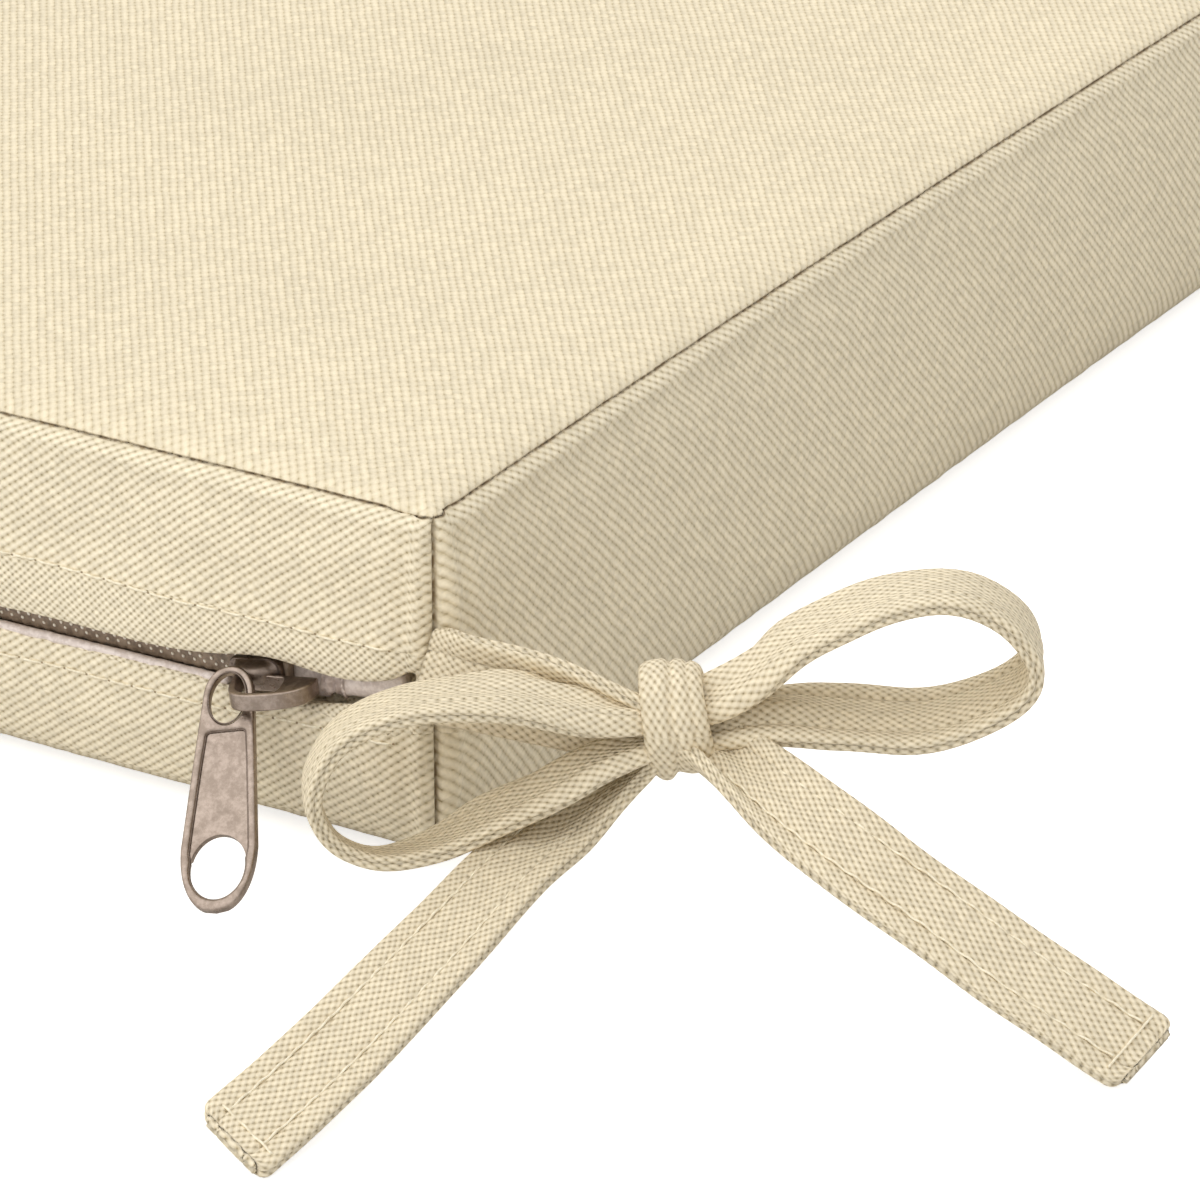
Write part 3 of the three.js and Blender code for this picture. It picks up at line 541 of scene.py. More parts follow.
def add_top(build, distances, grids):
    """The top panel, whose rim is the first row of each boxing."""
    gx, gy = np.meshgrid(HALF - distances, -HALF + distances, indexing="ij")
    px = gx - gx / HALF * draw_in(distances)[None, :]
    py = gy - gy / HALF * draw_in(distances)[:, None]
    edge = np.minimum(HALF - np.abs(gx), HALF - np.abs(gy))
    z = HEIGHT + crown_height(gx, gy, edge)
    z -= seam_line(distances, "zip")[:, None] * np.exp(-distances / 1.5)[None, :]
    inner = (slice(1, -1), slice(1, -1))
    points = np.stack([px, py, z], axis=-1)[inner]
    top = np.zeros(z.shape, dtype=int)
    # painted shade: the top panel's rim is marked darker beside its seams
    top[inner] = build.add_points(points, hump(edge[inner], 0, SEAM_SHADE_REACH)).reshape(points.shape[:2])
    top[:, 0] = grids["zip"][:, 0]
    top[:, -1] = grids["back"][:, 0]
    top[0, :] = grids["right"][:, 0]
    top[-1, :] = grids["left"][:, 0]
    build.add_grid(top, phases(WEAVE_TOP, gx, gy), flip=True)


def add_underside(build, grids):
    """The underside: rings that roll under, then a fan to the middle."""
    rim = np.concatenate([grids["right"][:-1, -1], grids["back"][:-1, -1],
                          grids["left"][:0:-1, -1], grids["zip"][:0:-1, -1]])
    base = np.array(build.points)[rim]
    rings = [rim]
    for ring in UNDER:
        points = base - base / HALF * np.array([*ring["inset"], 0.0])
        points[:, 2] = ring["z"]
        rings.append(build.add_points(points))
    rings.append(np.full(len(rim), build.add_points([[0, 0, 0]])[0]))
    index = np.stack(rings)
    index = closed_ring(index)
    places = np.array(build.points)[index]
    build.add_grid(index, phases(WEAVE_TOP, places[..., 0], places[..., 1]), flip=True)


def cloth_shares(points):
    """Where the cloth is pressed beside the zip, stretched over the filling, or plain boxing."""
    x, y, z = points.T
    line = np.interp(HALF - np.abs(x), TOPSTITCH[0]["at"], TOPSTITCH[0]["z"])
    near_zip = np.clip(0.5 + (line - z), 0, 1) * np.clip(0.5 + (z - PRESSED_FROM), 0, 1)
    reach = np.maximum(np.abs(x), y)
    satin = (reach > HALF - 4.5) & (y > -HALF + 0.3) & (z > 3) & (z < HEIGHT - 1)
    return {"pressed": np.where(y < -HALF + 6, near_zip, 0.0),
            "stretched": (z > HEIGHT - 0.3) | (z < 1.5),
            "satin": satin}


def make_cover():
    """The cover: four boxings, the top panel and the underside, in one closed mesh."""
    distances = graded_distances()
    build = Builder()
    profiles = {name: boxing_profile(distances, kind, seed) for name, (kind, seed, *_) in SIDES.items()}
    corners = {}
    grids = {name: add_boxing_points(build, name, distances, profiles[name], corners) for name in SIDES}
    for name in SIDES:
        add_boxing_faces(build, name, distances, profiles[name], grids[name])
    add_top(build, distances, grids)
    add_underside(build, grids)
    cover = build.finish("cover", **cloth_shares(np.array(build.points)))
    return cover, profiles["zip"], distances


def link(piece):
    """Puts an object in the scene."""
    bpy.context.scene.collection.objects.link(piece)


def setup_camera():
    data = bpy.data.cameras.new("camera")
    data.lens = CAMERA_LENS
    data.sensor_width = CAMERA_SENSOR
    data.clip_end = 20
    camera = bpy.data.objects.new("camera", data)
    camera.location = [c * MM for c in CAMERA_AT]
    camera.rotation_euler = Vector(CAMERA_FORWARD).to_track_quat("-Z", "Y").to_euler()
    link(camera)
    bpy.context.scene.camera = camera


# Bow axes in the cushion's frame
TURN = math.radians(BOW_TURN)
ACROSS = np.array([math.cos(TURN), math.sin(TURN), 0.0])
OUT = np.array([math.sin(TURN), -math.cos(TURN), 0.0])
UP = np.array([0.0, 0.0, 1.0])
FOOT = np.array([HALF, -HALF, 0.0])


def bow_vector(across, out, up):
    return np.multiply.outer(across, ACROSS) + np.multiply.outer(out, OUT) + np.multiply.outer(up, UP)


def unit(v):
    return v / np.linalg.norm(v, axis=-1, keepdims=True)


# One face of a folded strip: share of its width, lift of the cloth, how dark its stitched crease is painted
# (painted shade)
FACE_COLUMNS = [
    (-0.486, 0.88, 0), (-0.465, 1.02, 0), (-0.42, 1.08, 0), (-0.34, 1.08, 0), (-0.285, 1.0, 0),
    (-TIE_ROWS_AT, 0.74, 0.88), (-0.238, 1.0, 0), (-0.19, 1.08, 0), (-0.1, 1.12, 0), (0.0, 1.12, 0),
]
# Its edge, from that face to the other one: two rolled rims with a groove between them, the groove painted
# dark (painted shade)
EDGE_ROWS = [
    (0.497, 0.68, 0), (0.502, 0.40, 0), (0.470, 0.0, 0.9), (0.502, -0.40, 0), (0.497, -0.68, 0),
]


def mirrored_columns():
    other_half = [(-share, lift, shade) for share, lift, shade in FACE_COLUMNS[-2::-1]]
    return np.array(FACE_COLUMNS + other_half).T


def strip_ring(gather, phase, narrow):
    """The closed section of a strip: across, off the middle, and the painted shade of its creases."""
    share, lift, shade = mirrored_columns()
    fold = gather * np.cos(2 * math.pi * (2.3 * share + phase)) * (1 - (2 * share) ** 4)
    half = TIE_THICK / 2
    edge = np.array(EDGE_ROWS)
    x = np.concatenate([share, edge[:, 0], share[::-1], -edge[::-1, 0]]) * TIE_WIDTH * narrow
    y = np.concatenate([lift * half + fold, edge[:, 1] * half + fold[-1],
                        fold[::-1] - lift[::-1] * half, edge[::-1, 1] * half + fold[0]])
    return x, y, np.concatenate([shade, edge[:, 2], shade[::-1], edge[:, 2]])


def curl_section(x, y, cup, width):
    """Bends a flat section through the angle cup."""
    if abs(cup) < 0.01:
        return x, y
    angle = x / width * cup
    radius = width / cup
    return (radius - y) * np.sin(angle), radius - (radius - y) * np.cos(angle)


def route(rows):
    """A strip's course and the way travelled: middle, tangent, side, normal and cup in 13 columns."""
    table = np.array(rows, dtype=float)
    points = bow_vector(table[:, 0], table[:, 1], table[:, 2]) + FOOT
    sides = bow_vector(table[:, 3], table[:, 4], table[:, 5])
    everything = np.concatenate([points, sides, table[:, 6:7]], axis=1)
    samples = []
    for index in range(len(rows) - 1):
        length = np.linalg.norm(points[index + 1] - points[index])
        count = max(2, round(length / ROUTE_STEP))
        samples.extend(catmull(everything, index, k / count) for k in range(count))
    samples = np.array(samples + [everything[-1]])
    middle, side = samples[:, :3], unit(samples[:, 3:6])
    tangent = unit(np.gradient(middle, axis=0))
    normal = unit(np.cross(tangent, side))
    course = np.concatenate([middle, tangent, side, normal, np.radians(samples[:, 6:])], axis=1)
    return course, np.concatenate([[0], np.cumsum(np.linalg.norm(np.diff(middle, axis=0), axis=1))])


def at_station(course, travelled, s):
    """The course at one or more ways travelled."""
    return np.stack([np.interp(s, travelled, column) for column in course.T], axis=-1)


def with_end_rings(course, travelled):
    """The course with closer places at its end, to round its corners."""
    length = travelled[-1]
    keep = travelled < length - END_STEPS[-1] - 0.3
    wanted = np.concatenate([travelled[keep], length - np.array(END_STEPS[::-1])])
    return at_station(course, travelled, wanted), wanted


def near_ends(s, left, reach, both):
    """1 at the start of a strip, fading over reach; at its other end too if both."""
    return math.exp(-s / reach) + (math.exp(-left / reach) if both else 0.0)


def end_width(left):
    """Share of the width that a tail keeps this close to its end."""
    if left >= END_ROUND:
        return 1.0
    return 1.0 - (END_ROUND - math.sqrt(END_ROUND ** 2 - (END_ROUND - left) ** 2)) / (TIE_WIDTH / 2)


def add_strip(build, rows, seed, tail=False, gather=0.5, reach=14.0, both_ends=False):
    """A folded and sewn strip along the rows of a table; returns its course and way travelled."""
    course, travelled = route(rows)
    if tail:
        course, travelled = with_end_rings(course, travelled)
    phase = np.random.default_rng(seed).uniform(0, 1)
    squeeze = KNOT_SQUEEZE["tail" if tail else "loop"] if gather else 0.0
    rings, shades = [], []
    for place, s in zip(course, travelled):
        left = travelled[-1] - s
        narrow = end_width(left) if tail else 1.0
        narrow *= 1 - squeeze * near_ends(s, left, KNOT_SQUEEZE["reach"], both_ends)
        folds = gather * near_ends(s, left, reach, both_ends)
        x, y, shade = strip_ring(folds, phase + 0.004 * s, narrow)
        flutter = 0.12 * wobble(s, 0.0, seed + 3, 13.0) + 0.22 * wobble(s, x, seed + 4, 24.0)
        px, py = curl_section(x, y + flutter, place[12], TIE_WIDTH * narrow)
        rings.append(place[:3] + np.outer(px, place[6:9]) + np.outer(py, place[9:12]))
        shades.append(shade)
    rings = np.array(rings)
    index = build.add_points(rings, np.array(shades)).reshape(rings.shape[:2])
    plain = rings[len(rings) // 2]
    steps = np.linalg.norm(np.diff(plain, axis=0, append=plain[:1]), axis=1)
    around = np.concatenate([[0], np.cumsum(steps)])
    u, v = np.broadcast_arrays(travelled[:, None], around[None, :])
    build.add_grid(closed_ring(index), phases(WEAVE_TIE, u, v), flip=True)
    for end in (0, -1):
        cap_strip(build, index[end], rings[end], course[end, 3:6], end, bulge=0.5 if tail and end else 0.0)
    return course, travelled


def cap_strip(build, index, ring, tangent, end, bulge):
    """Closes a strip's end; the end of a tail shows its two layers, with a groove between them that is
    painted dark (painted shade).
    """
    columns = 2 * len(FACE_COLUMNS) - 1
    edges = len(EDGE_ROWS)
    top, low = ring[:columns], ring[columns + edges:2 * columns + edges][::-1]
    right = index[columns:columns + edges]
    left = index[2 * columns + edges:][::-1]
    rows = [index[:columns]]
    pushes = (0.5, 1.0, -0.7, 1.0, 0.5)
    for k, (share, push) in enumerate(zip((0.16, 0.3, 0.5, 0.7, 0.84), pushes)):
        points = mix(top, low, share) + tangent * push * bulge
        # painted shade: the middle row of a tail's end is marked dark
        inner = build.add_points(points[1:-1], np.full(columns - 2, 1.0 if k == 2 and bulge else 0.0))
        rows.append(np.concatenate([[left[k]], inner, [right[k]]]))
    rows.append(index[columns + edges:2 * columns + edges][::-1])
    cap = np.stack(rows)
    down, across = np.linspace(0, TIE_THICK, len(rows)), np.linspace(0, TIE_WIDTH, columns)
    u, v = np.broadcast_arrays(down[:, None], across[None, :])
    build.add_grid(cap, phases(WEAVE_TIE, v, u), flip=end == 0)


def add_knot(build):
    """The turn of cloth around the knot, with two soft gathers down its front and a fuller lobe below, and
    painted shade down the gathers' valleys.
    """
    steps, cells = 64, 34
    half = KNOT["width"] / 2
    t = np.linspace(-1, 1, cells)
    rings, shades = [], []
    for k in range(steps):
        angle = 2 * math.pi * k / steps
        c, s = math.cos(angle), math.sin(angle)
        outward = unit(bow_vector(0.0, c, s))
        body = 0.25 + 1.15 * (1 - np.abs(t) ** 3.2) ** 0.6
        shade = np.zeros(cells)
        for place, deep, wide in KNOT_GATHERS:
            drift = place + 0.09 * math.sin(angle * 1.3 + place * 5)
            valley = hump(t, drift, wide)
            body -= deep * valley
            # painted shade: darker down in each gather's valley
            shade = np.maximum(shade, valley ** 3)
        low = smooth((-s - 0.55) / 0.4)
        body += 0.8 * low * hump(t, -0.5, 0.4) - 0.25 * low * hump(t, 0, 0.15)
        lean = -KNOT["lean"] * KNOT["ring_up"] * s
        across = KNOT["across"] + lean + t * half * (0.98 - 0.06 * s)
        centre = bow_vector(across, np.full(cells, KNOT["out"] + KNOT["ring_out"] * c),
                            np.full(cells, KNOT["up"] + KNOT["ring_up"] * s)) + FOOT
        under = centre[::-1] - outward * 0.9
        rings.append(np.concatenate([centre + np.outer(body, outward), under]))
        shades.append(np.concatenate([shade * 0.62, np.zeros(cells)]))
    points = np.array(rings)
    index = build.add_points(points, np.array(shades)).reshape(steps, -1)
    index = np.concatenate([index, index[:1]])
    index = closed_ring(index)
    u = np.linspace(0, 34, steps + 1)[:, None]
    v = np.concatenate([t * half, t[::-1] * half, t[:1] * half])[None, :]
    u, v = np.broadcast_arrays(u, v)
    build.add_grid(index, phases(WEAVE_TIE, u, v), flip=True)


def add_blob(build, centre, axes, turns=(10, 6)):
    """A small closed ellipsoid: axes holds its three half-axes as vectors."""
    around, up = turns
    rows = []
    top = build.add_points([centre + axes[2]])[0]
    rows.append(np.full(around + 1, top))
    for j in range(1, up):
        polar = math.pi * j / up
        angle = around_circle(around)
        flat = np.outer(np.cos(angle), axes[0]) + np.outer(np.sin(angle), axes[1])
        ring = centre + math.sin(polar) * flat + math.cos(polar) * axes[2]
        index = build.add_points(ring)
        rows.append(np.append(index, index[0]))
    low = build.add_points([centre - axes[2]])[0]
    rows.append(np.full(around + 1, low))
    index = np.stack(rows)
    build.add_grid(index, np.zeros(index.shape + (2,)), flip=False)


def add_tube(build, path, radius, sides=6):
    """A closed thin tube along a path."""
    path = np.asarray(path, dtype=float)
    tangent = unit(np.gradient(path, axis=0))
    guess = np.array([0.0, 0.0, 1.0]) if abs(tangent[0][2]) < 0.8 else np.array([1.0, 0.0, 0.0])
    first = unit(np.cross(tangent, guess))[:, None]
    second = np.cross(tangent, first[:, 0])[:, None]
    angle = around_circle(sides)[None, :, None]
    rings = path[:, None] + radius * (np.cos(angle) * first + np.sin(angle) * second)
    along = np.concatenate([[0, 0], np.cumsum(np.linalg.norm(np.diff(path, axis=0), axis=1))])
    along = np.append(along, along[-1])
    build.add_capped(rings, (path[0], path[-1]), grid_uv(along, np.arange(sides + 1) / sides))


def make_bow(name, flip_x):
    """One tie's bow, and the courses of its tails; flip_x makes its mirror image."""
    build = Builder()
    add_knot(build)
    core = bow_vector(KNOT["across"], KNOT["out"], KNOT["up"]) + FOOT
    add_blob(build, core, (ACROSS * 3.0, OUT * 4.2, UP * 5.6), turns=(20, 12))
    add_strip(build, ROOT, 21, gather=0.0)
    add_strip(build, LEFT_LOOP, 22, gather=0.6, reach=17.0, both_ends=True)
    add_strip(build, RIGHT_LOOP, 23, gather=0.6, reach=17.0, both_ends=True)
    left = add_strip(build, LEFT_TAIL, 24, tail=True, reach=18.0)
    right = add_strip(build, RIGHT_TAIL, 25, tail=True, reach=18.0)
    if flip_x:
        build.mirror_x()
    return build.finish(name), left, right


def on_face(course, travelled, s, x, lift):
    """A point over a strip's face, x off its middle line and lift over its middle layer."""
    place = at_station(course, travelled, s)
    px, py = curl_section(np.array([x]), np.array([lift]), place[12], TIE_WIDTH)
    return place[:3] + unit(place[6:9]) * px[0] + unit(place[9:12]) * py[0]


def make_threads(name, tails, flip_x):
    """Stitching along the two rows of each tail and across its end, dipping into the cloth."""
    build = Builder()
    t = TIE_THREAD

    def lifts(places, row):
        return t[row][0] + t[row][1] * np.cos(2 * math.pi * places / t["pitch"])

    for course, travelled in tails:
        end = travelled[-1] - t["before_end"]
        stations = np.arange(t["start"], end, t["step"])
        for x in (-TIE_ROWS_AT * TIE_WIDTH, TIE_ROWS_AT * TIE_WIDTH):
            places = zip(stations, lifts(stations, "row"))
            add_tube(build, [on_face(course, travelled, s, x, lift) for s, lift in places], t["radius"])
        across = np.arange(-0.4, 0.41, 0.03) * TIE_WIDTH
        places = zip(across, lifts(across, "end_row"))
        add_tube(build, [on_face(course, travelled, end, x, lift) for x, lift in places], t["radius"])
    if flip_x:
        build.mirror_x()
    return build.finish(name)


def zip_place(station, out, rise):
    """A point by the zip: station from the photographed corner, out of the side, rise over the zip."""
    near = np.minimum(station, SIDE - station)
    x = HALF - station
    y = -HALF - out + draw_in(near)
    return np.stack(np.broadcast_arrays(x, y, zip_height(near) + rise), axis=-1)


def sweep_along_zip(build, stations, section_at):
    """A closed piece that follows the zip; section_at gives its (out, rise) points at a station."""
    sections = np.array([section_at(s) for s in stations])
    points = zip_place(stations[:, None], sections[..., 0], sections[..., 1])
    along = np.concatenate([stations[:1], stations, stations[-1:]])
    girth = np.cumsum(np.full(sections.shape[1] + 1, 0.4))
    hubs = (points[0].mean(axis=0), points[-1].mean(axis=0))
    build.add_capped(points, hubs, grid_uv(along * ZIP_UV_RATE, girth * ZIP_UV_RATE))


def coil_section(station):
    """The flattened coil, with a shallow dip between its teeth."""
    ripple = 1 - 0.10 * (0.5 + 0.5 * math.cos(2 * math.pi * station / DOT_PITCH))
    angle = around_circle(14)
    out = np.sign(np.cos(angle)) * np.abs(np.cos(angle)) ** 0.75
    rise = np.sign(np.sin(angle)) * np.abs(np.sin(angle)) ** 0.8
    middle = (COIL["back"] + COIL["front"]) / 2
    deep = (COIL["front"] - COIL["back"]) / 2
    return np.stack([middle + deep * ripple * out, COIL["half"] * ripple * rise], axis=-1)


def make_coil():
    """The zip's coil, from the slider to as far from the other corner."""
    build = Builder()
    stations = np.arange(COIL["start"], SIDE - COIL["start"], DOT_PITCH / 5)
    sweep_along_zip(build, stations, coil_section)
    return build.finish("coil")


def make_coil_stitches():
    """The white stitches that hold the coil: one long and two small ones to each tooth."""
    build = Builder()
    draw = np.random.default_rng(31)
    for station in np.arange(COIL["start"] + 1.0, SIDE - COIL["start"] - 1.0, DOT_PITCH):
        for shift, out, rise, long, high in COIL_STITCHES:
            jitter = draw.uniform(-0.06, 0.06, 2)
            at = zip_place(np.array(station + shift + jitter[0]), out, rise + jitter[1])
            axes = (np.array([-1.0, 0, 0.35]) * long, np.array([0, -0.15, 0]), UP * high)
            add_blob(build, at, axes, turns=(7, 4))
    return build.finish("coil_stitches")


def edge_section(station):
    """The tape's ragged edge on the lower lip, sunk a little near the corners."""
    ragged = 0.10 * wobble(station, 0.0, 33, 5.0) + 0.10 * wobble(station, 0.0, 34, 1.6)
    near = np.minimum(station, SIDE - station)
    sunk = -0.35 * (1 - smooth((near - 27) / 12))
    section = np.array(TAPE_EDGE)
    section[:, 0] += np.array(TAPE_EDGE_MOVES) * (ragged + sunk)
    section[:, 1] += sunk * 0.5
    return section


def roll_section(station):
    """The rolled tape between the slider and the corner, tapered at the corner."""
    near = min(station, SIDE - station)
    size = 1 + 0.05 * wobble(near, 0.0, 35, 3.0)
    size *= 0.75 + 0.25 * float(smooth((near - TAPE["end"]) / 1.2))
    angle = around_circle(14)
    out = ROLL["out"] + ROLL["deep"] * size * np.cos(angle)
    return np.stack([out, ROLL["high"] * size * np.sin(angle)], axis=-1)


def make_tape():
    """The tape: flat behind the coil, its edge on the lower lip, and rolled up towards both corners."""
    build = Builder()
    back, front, half = TAPE["back"], TAPE["front"], TAPE["half"]
    flat = np.array([[front, -half], [front, 0], [front, half], [back, half], [back, 0], [back, -half]])
    stations = np.arange(SLEEVE["end"], SIDE - SLEEVE["end"] + 1, 4.0)
    sweep_along_zip(build, stations, lambda station: flat)
    sweep_along_zip(build, np.arange(TAPE_EDGE_START, SIDE - TAPE_EDGE_START, 0.7), edge_section)
    stations = np.linspace(TAPE["end"], SLEEVE["end"] - 2.6, 26)
    sweep_along_zip(build, stations, roll_section)
    sweep_along_zip(build, SIDE - stations[::-1], roll_section)
    return build.finish("tape")


def make_sleeve():
    """The crimped end of the tape, right behind the slider."""
    build = Builder()
    stations = np.linspace(SLEEVE["end"] - SLEEVE["length"], SLEEVE["end"], 30)
    angle = around_circle(28)

    def section(station):
        place = (station - stations[0]) / (stations[-1] - stations[0])
        size = 1.0 - 0.16 * math.sin(math.pi * place) + 0.05 * place
        size += 0.08 * np.sin(5 * angle + 9 * place) + 0.06 * np.sin(17 * place + 2.0 * np.cos(angle))
        size += 0.09 * np.sin(9 * angle - 21 * place) * np.sin(4 * angle + 13 * place)
        out = ROLL["out"] + SLEEVE["deep"] * size * np.cos(angle)
        return np.stack([out, SLEEVE["high"] * size * np.sin(angle)], axis=-1)

    sweep_along_zip(build, stations, section)
    return build.finish("tape_sleeve")


def bezier(a, b, c, d, steps=16):
    t = np.linspace(0, 1, steps)[:, None]
    a, b, c, d = (np.array(p, dtype=float) for p in (a, b, c, d))
    return (1 - t) ** 3 * a + 3 * (1 - t) ** 2 * t * b + 3 * (1 - t) * t ** 2 * c + t ** 3 * d


def cut_plate(outline, holes, low, high, bevel):
    """Points and faces of a flat plate with holes, from low to high, all its edges rounded."""
    data = bpy.data.curves.new("outline", "CURVE")
    data.dimensions = "2D"
    data.fill_mode = "BOTH"
    data.bevel_depth = bevel
    data.bevel_resolution = 3
    data.offset = -bevel
    data.extrude = (high - low) / 2 - bevel
    for path in [outline] + holes:
        spline = data.splines.new("POLY")
        spline.points.add(len(path) - 1)
        for point, (x, y) in zip(spline.points, path):
            point.co = (x, y, 0, 1)
        spline.use_cyclic_u = True
    holder = bpy.data.objects.new("outline", data)
    link(holder)
    bpy.context.view_layer.update()
    made = bpy.data.meshes.new_from_object(holder.evaluated_get(bpy.context.evaluated_depsgraph_get()))
    whole = bmesh.new()
    whole.from_mesh(made)
    bmesh.ops.remove_doubles(whole, verts=whole.verts, dist=0.002)
    bmesh.ops.recalc_face_normals(whole, faces=whole.faces)
    whole.verts.index_update()
    points = np.array([v.co[:] for v in whole.verts])
    points[:, 2] += (low + high) / 2
    faces = [[v.index for v in f.verts] for f in whole.faces]
    whole.free()
    bpy.data.objects.remove(holder)
    bpy.data.curves.remove(data)
    bpy.data.meshes.remove(made)
    return points, faces


def ellipse(top, long, half, steps=44):
    angle = around_circle(steps)
    return np.stack([half * np.cos(angle), top + long / 2 - long / 2 * np.sin(angle)], axis=-1)


def pull_outline():
    p = PULL
    foot_top = p["length"] - p["foot_half"] * 1.25
    right = np.concatenate([
        bezier((0, 0), (p["ring_half"] * 0.6, 0), (p["ring_half"], p["ring_at"] * 0.4),
               (p["ring_half"], p["ring_at"])),
        [(p["neck_half"], p["neck_at"])],
        bezier((p["foot_half"], foot_top - 2), (p["foot_half"], foot_top + 2.4),
               (p["foot_half"] * 0.62, p["length"] - 0.7), (p["foot_half"] * 0.3, p["length"] - 0.2)),
        [(0, p["length"])]])
    left = right[-2:0:-1] * np.array([-1, 1])
    return np.concatenate([right, left])


def recess_side(y):
    """Half the recess's width at y down the pull."""
    p = PULL
    share = (y - p["neck_at"]) / (p["length"] - p["foot_half"] * 1.25 - 2 - p["neck_at"])
    return mix(p["neck_half"], p["foot_half"], min(share, 1.0)) - p["recess_inset"] - 0.3


def recess_path(grow):
    """The recess from its top down to the hole at the foot, as one path round both."""
    p = PULL
    top = p["recess_top"] - grow
    hole = ellipse(p["hole_top"], p["hole_length"], p["hole_half"], 64)
    low = hole[hole[:, 1] > 22.4]
    low = low[np.argsort(np.arctan2(low[:, 0], low[:, 1] - 22.0))][::-1]
    corner = 0.75
    side = recess_side(top) + grow
    right = bezier((side - corner, top), (side - 0.2, top), (side, top + 0.2), (side, top + corner), 6)
    down = [(recess_side(y) + grow, y) for y in (11.0, 15.0, 19.0, 21.6)]
    left = [(-x, y) for x, y in (right.tolist() + down)[::-1]]
    return np.array(right.tolist() + down + low.tolist() + left)


def recess_floor():
    """The recess's floor: under the border at its top and sides, open at the foot's hole."""
    path = recess_path(0.35)
    sides = path[path[:, 1] < 21.7]
    turn = int(np.argmax(np.diff(sides[:, 0]) < -4)) + 1
    p = PULL
    arc = ellipse(p["hole_top"], p["hole_length"], p["hole_half"], 64)
    arc = arc[arc[:, 1] < 22.6]
    arc = arc[np.argsort(-arc[:, 0])]
    side = recess_side(22.6) + 0.35
    return np.concatenate([sides[:turn], [(side, 22.6)], arc, [(-side, 22.6)], sides[turn:]])


def make_pull():
    """The pull: a plate with a raised border, an eye at its top and a hole at its foot."""
    p = PULL
    half = p["thick"] / 2
    build = Builder()
    eye = ellipse(p["eye_top"], p["eye_length"], p["eye_half"])
    add_body(build, *cut_plate(pull_outline(), [eye, recess_path(0.0)], -half, half, 0.32))
    add_body(build, *cut_plate(recess_floor(), [], -half + 0.04, half - p["recess_depth"], 0.05))
    # painted shade: dark lines in the corner below the border, and round the eye's inner edge
    shaded_lines = ((recess_path(0.0), half - p["recess_depth"] + 0.04, 0.14), (eye, half - 0.02, 0.09))
    for path, z, radius in shaded_lines:
        first = len(build.points)
        line = np.column_stack([path, np.full(len(path), z)])
        add_tube(build, np.concatenate([line, line[:1]]), radius)
        build.crease[first:] = [HOLLOW_LINE_SHADE] * (len(build.points) - first)
    down = unit(bow_vector(*PULL_DOWN))
    side = bow_vector(*PULL_SIDE)
    side = unit(side - down * side.dot(down))
    front = np.cross(down, side)
    top = bow_vector(*PULL_TOP) + FOOT
    build.points = (top + np.array(build.points) @ np.array([side, down, front])).tolist()
    build.faces = [face[::-1] for face in build.faces]
    return build.finish("pull")


def add_body(build, points, faces):
    start = build.add_points(points)[0]
    for face in faces:
        build.faces.append([int(start + v) for v in face])
        build.weave.extend([(points[v][0], points[v][1]) for v in face])


def turned(points, turn):
    """Turned about z by yaw, then about y by tilt."""
    yaw, tilt = math.radians(turn["yaw"]), math.radians(turn["tilt"])
    cos_z, sin_z, cos_y, sin_y = math.cos(yaw), math.sin(yaw), math.cos(tilt), math.sin(tilt)
    about_z = np.array([[cos_z, -sin_z, 0], [sin_z, cos_z, 0], [0, 0, 1]])
    about_y = np.array([[cos_y, 0, sin_y], [0, 1, 0], [-sin_y, 0, cos_y]])
    return points @ (about_y @ about_z).T


def slider_dome():
    """The slider's front: a domed plate with a thin raised edge, in the slider's axes."""
    p = PLATE
    end, wide, narrow = p["length"] / 2, p["wide"] / 2, p["narrow"] / 2
    back = -end + 1.8
    upper = np.concatenate([
        bezier((end, 0), (end, narrow * 0.7), (end - 0.4, narrow), (end - 1.0, narrow), 8),
        bezier((end - 1.0, narrow), (0, mix(narrow, wide, 0.5)), (back + 0.8, wide), (back, wide), 8)[1:],
        bezier((back, wide), (-end + 0.5, wide), (-end, wide * 0.6), (-end, 0), 10)[1:]])
    outline = np.concatenate([upper, upper[-2:0:-1] * np.array([1, -1])])
    rings = []
    for size, out in DOME_RINGS:
        along, up = (outline * size).T
        rings.append(np.stack([along + p["shift"], np.full(len(up), out), up + p["lift"]], axis=-1))
    return np.array(rings)


def bridge_shape():
    """The bridge's outline and its open middle, in the plane of the slider's axes."""
    b = BRIDGE
    end, reach = b["length"] / 2, b["reach"]

    def base(x):
        return b["base"] - b["slope"] * x

    outline = np.concatenate([
        bezier((end, base(end)), (end, reach * 0.9), (end * 0.8, reach), (0, reach), 18),
        bezier((0, reach), (-end * 0.6, reach), (-end, reach * 0.85), (-end, base(-end)), 18)[1:]])
    inner, far, start = reach - b["thick"], end - b["thick"], b["open_to"]
    foot, far_foot = (base(x) + b["web"] for x in (start, far))
    middle = np.concatenate([
        bezier((start, foot), (start - 0.6, foot), (start - 0.6, inner), (start, inner), 10),
        bezier((start, inner), (far * 0.8, inner), (far, inner * 0.9), (far, far_foot), 16)[1:]])
    return outline, middle


def make_slider():
    """The slider: its bridge and its domed front, at their place on the zip."""
    build = Builder()
    outline, middle = bridge_shape()
    low, high = (BRIDGE["lift"] + sign * BRIDGE["high"] / 2 for sign in (-1, 1))
    points, faces = cut_plate(outline, [middle], low, high, 0.2)
    add_body(build, turned(points, BRIDGE_TURN), faces)
    dome = turned(slider_dome(), PLATE_TURN)
    rows, columns = dome.shape[:2]
    # painted shade: the whole dome is marked darker than the bridge
    build.add_capped(dome, (dome[0].mean(axis=0), dome[-1].mean(axis=0)),
                     np.zeros((rows + 2, columns + 1, 2)), np.full((rows, columns), DOME_SHADE), flip=False)
    place = zip_place(np.array(SLIDER_AT), 0.0, 0.0)
    build.points = (place + np.array(build.points) * np.array([-1, -1, 1])).tolist()
    return build.finish("slider")


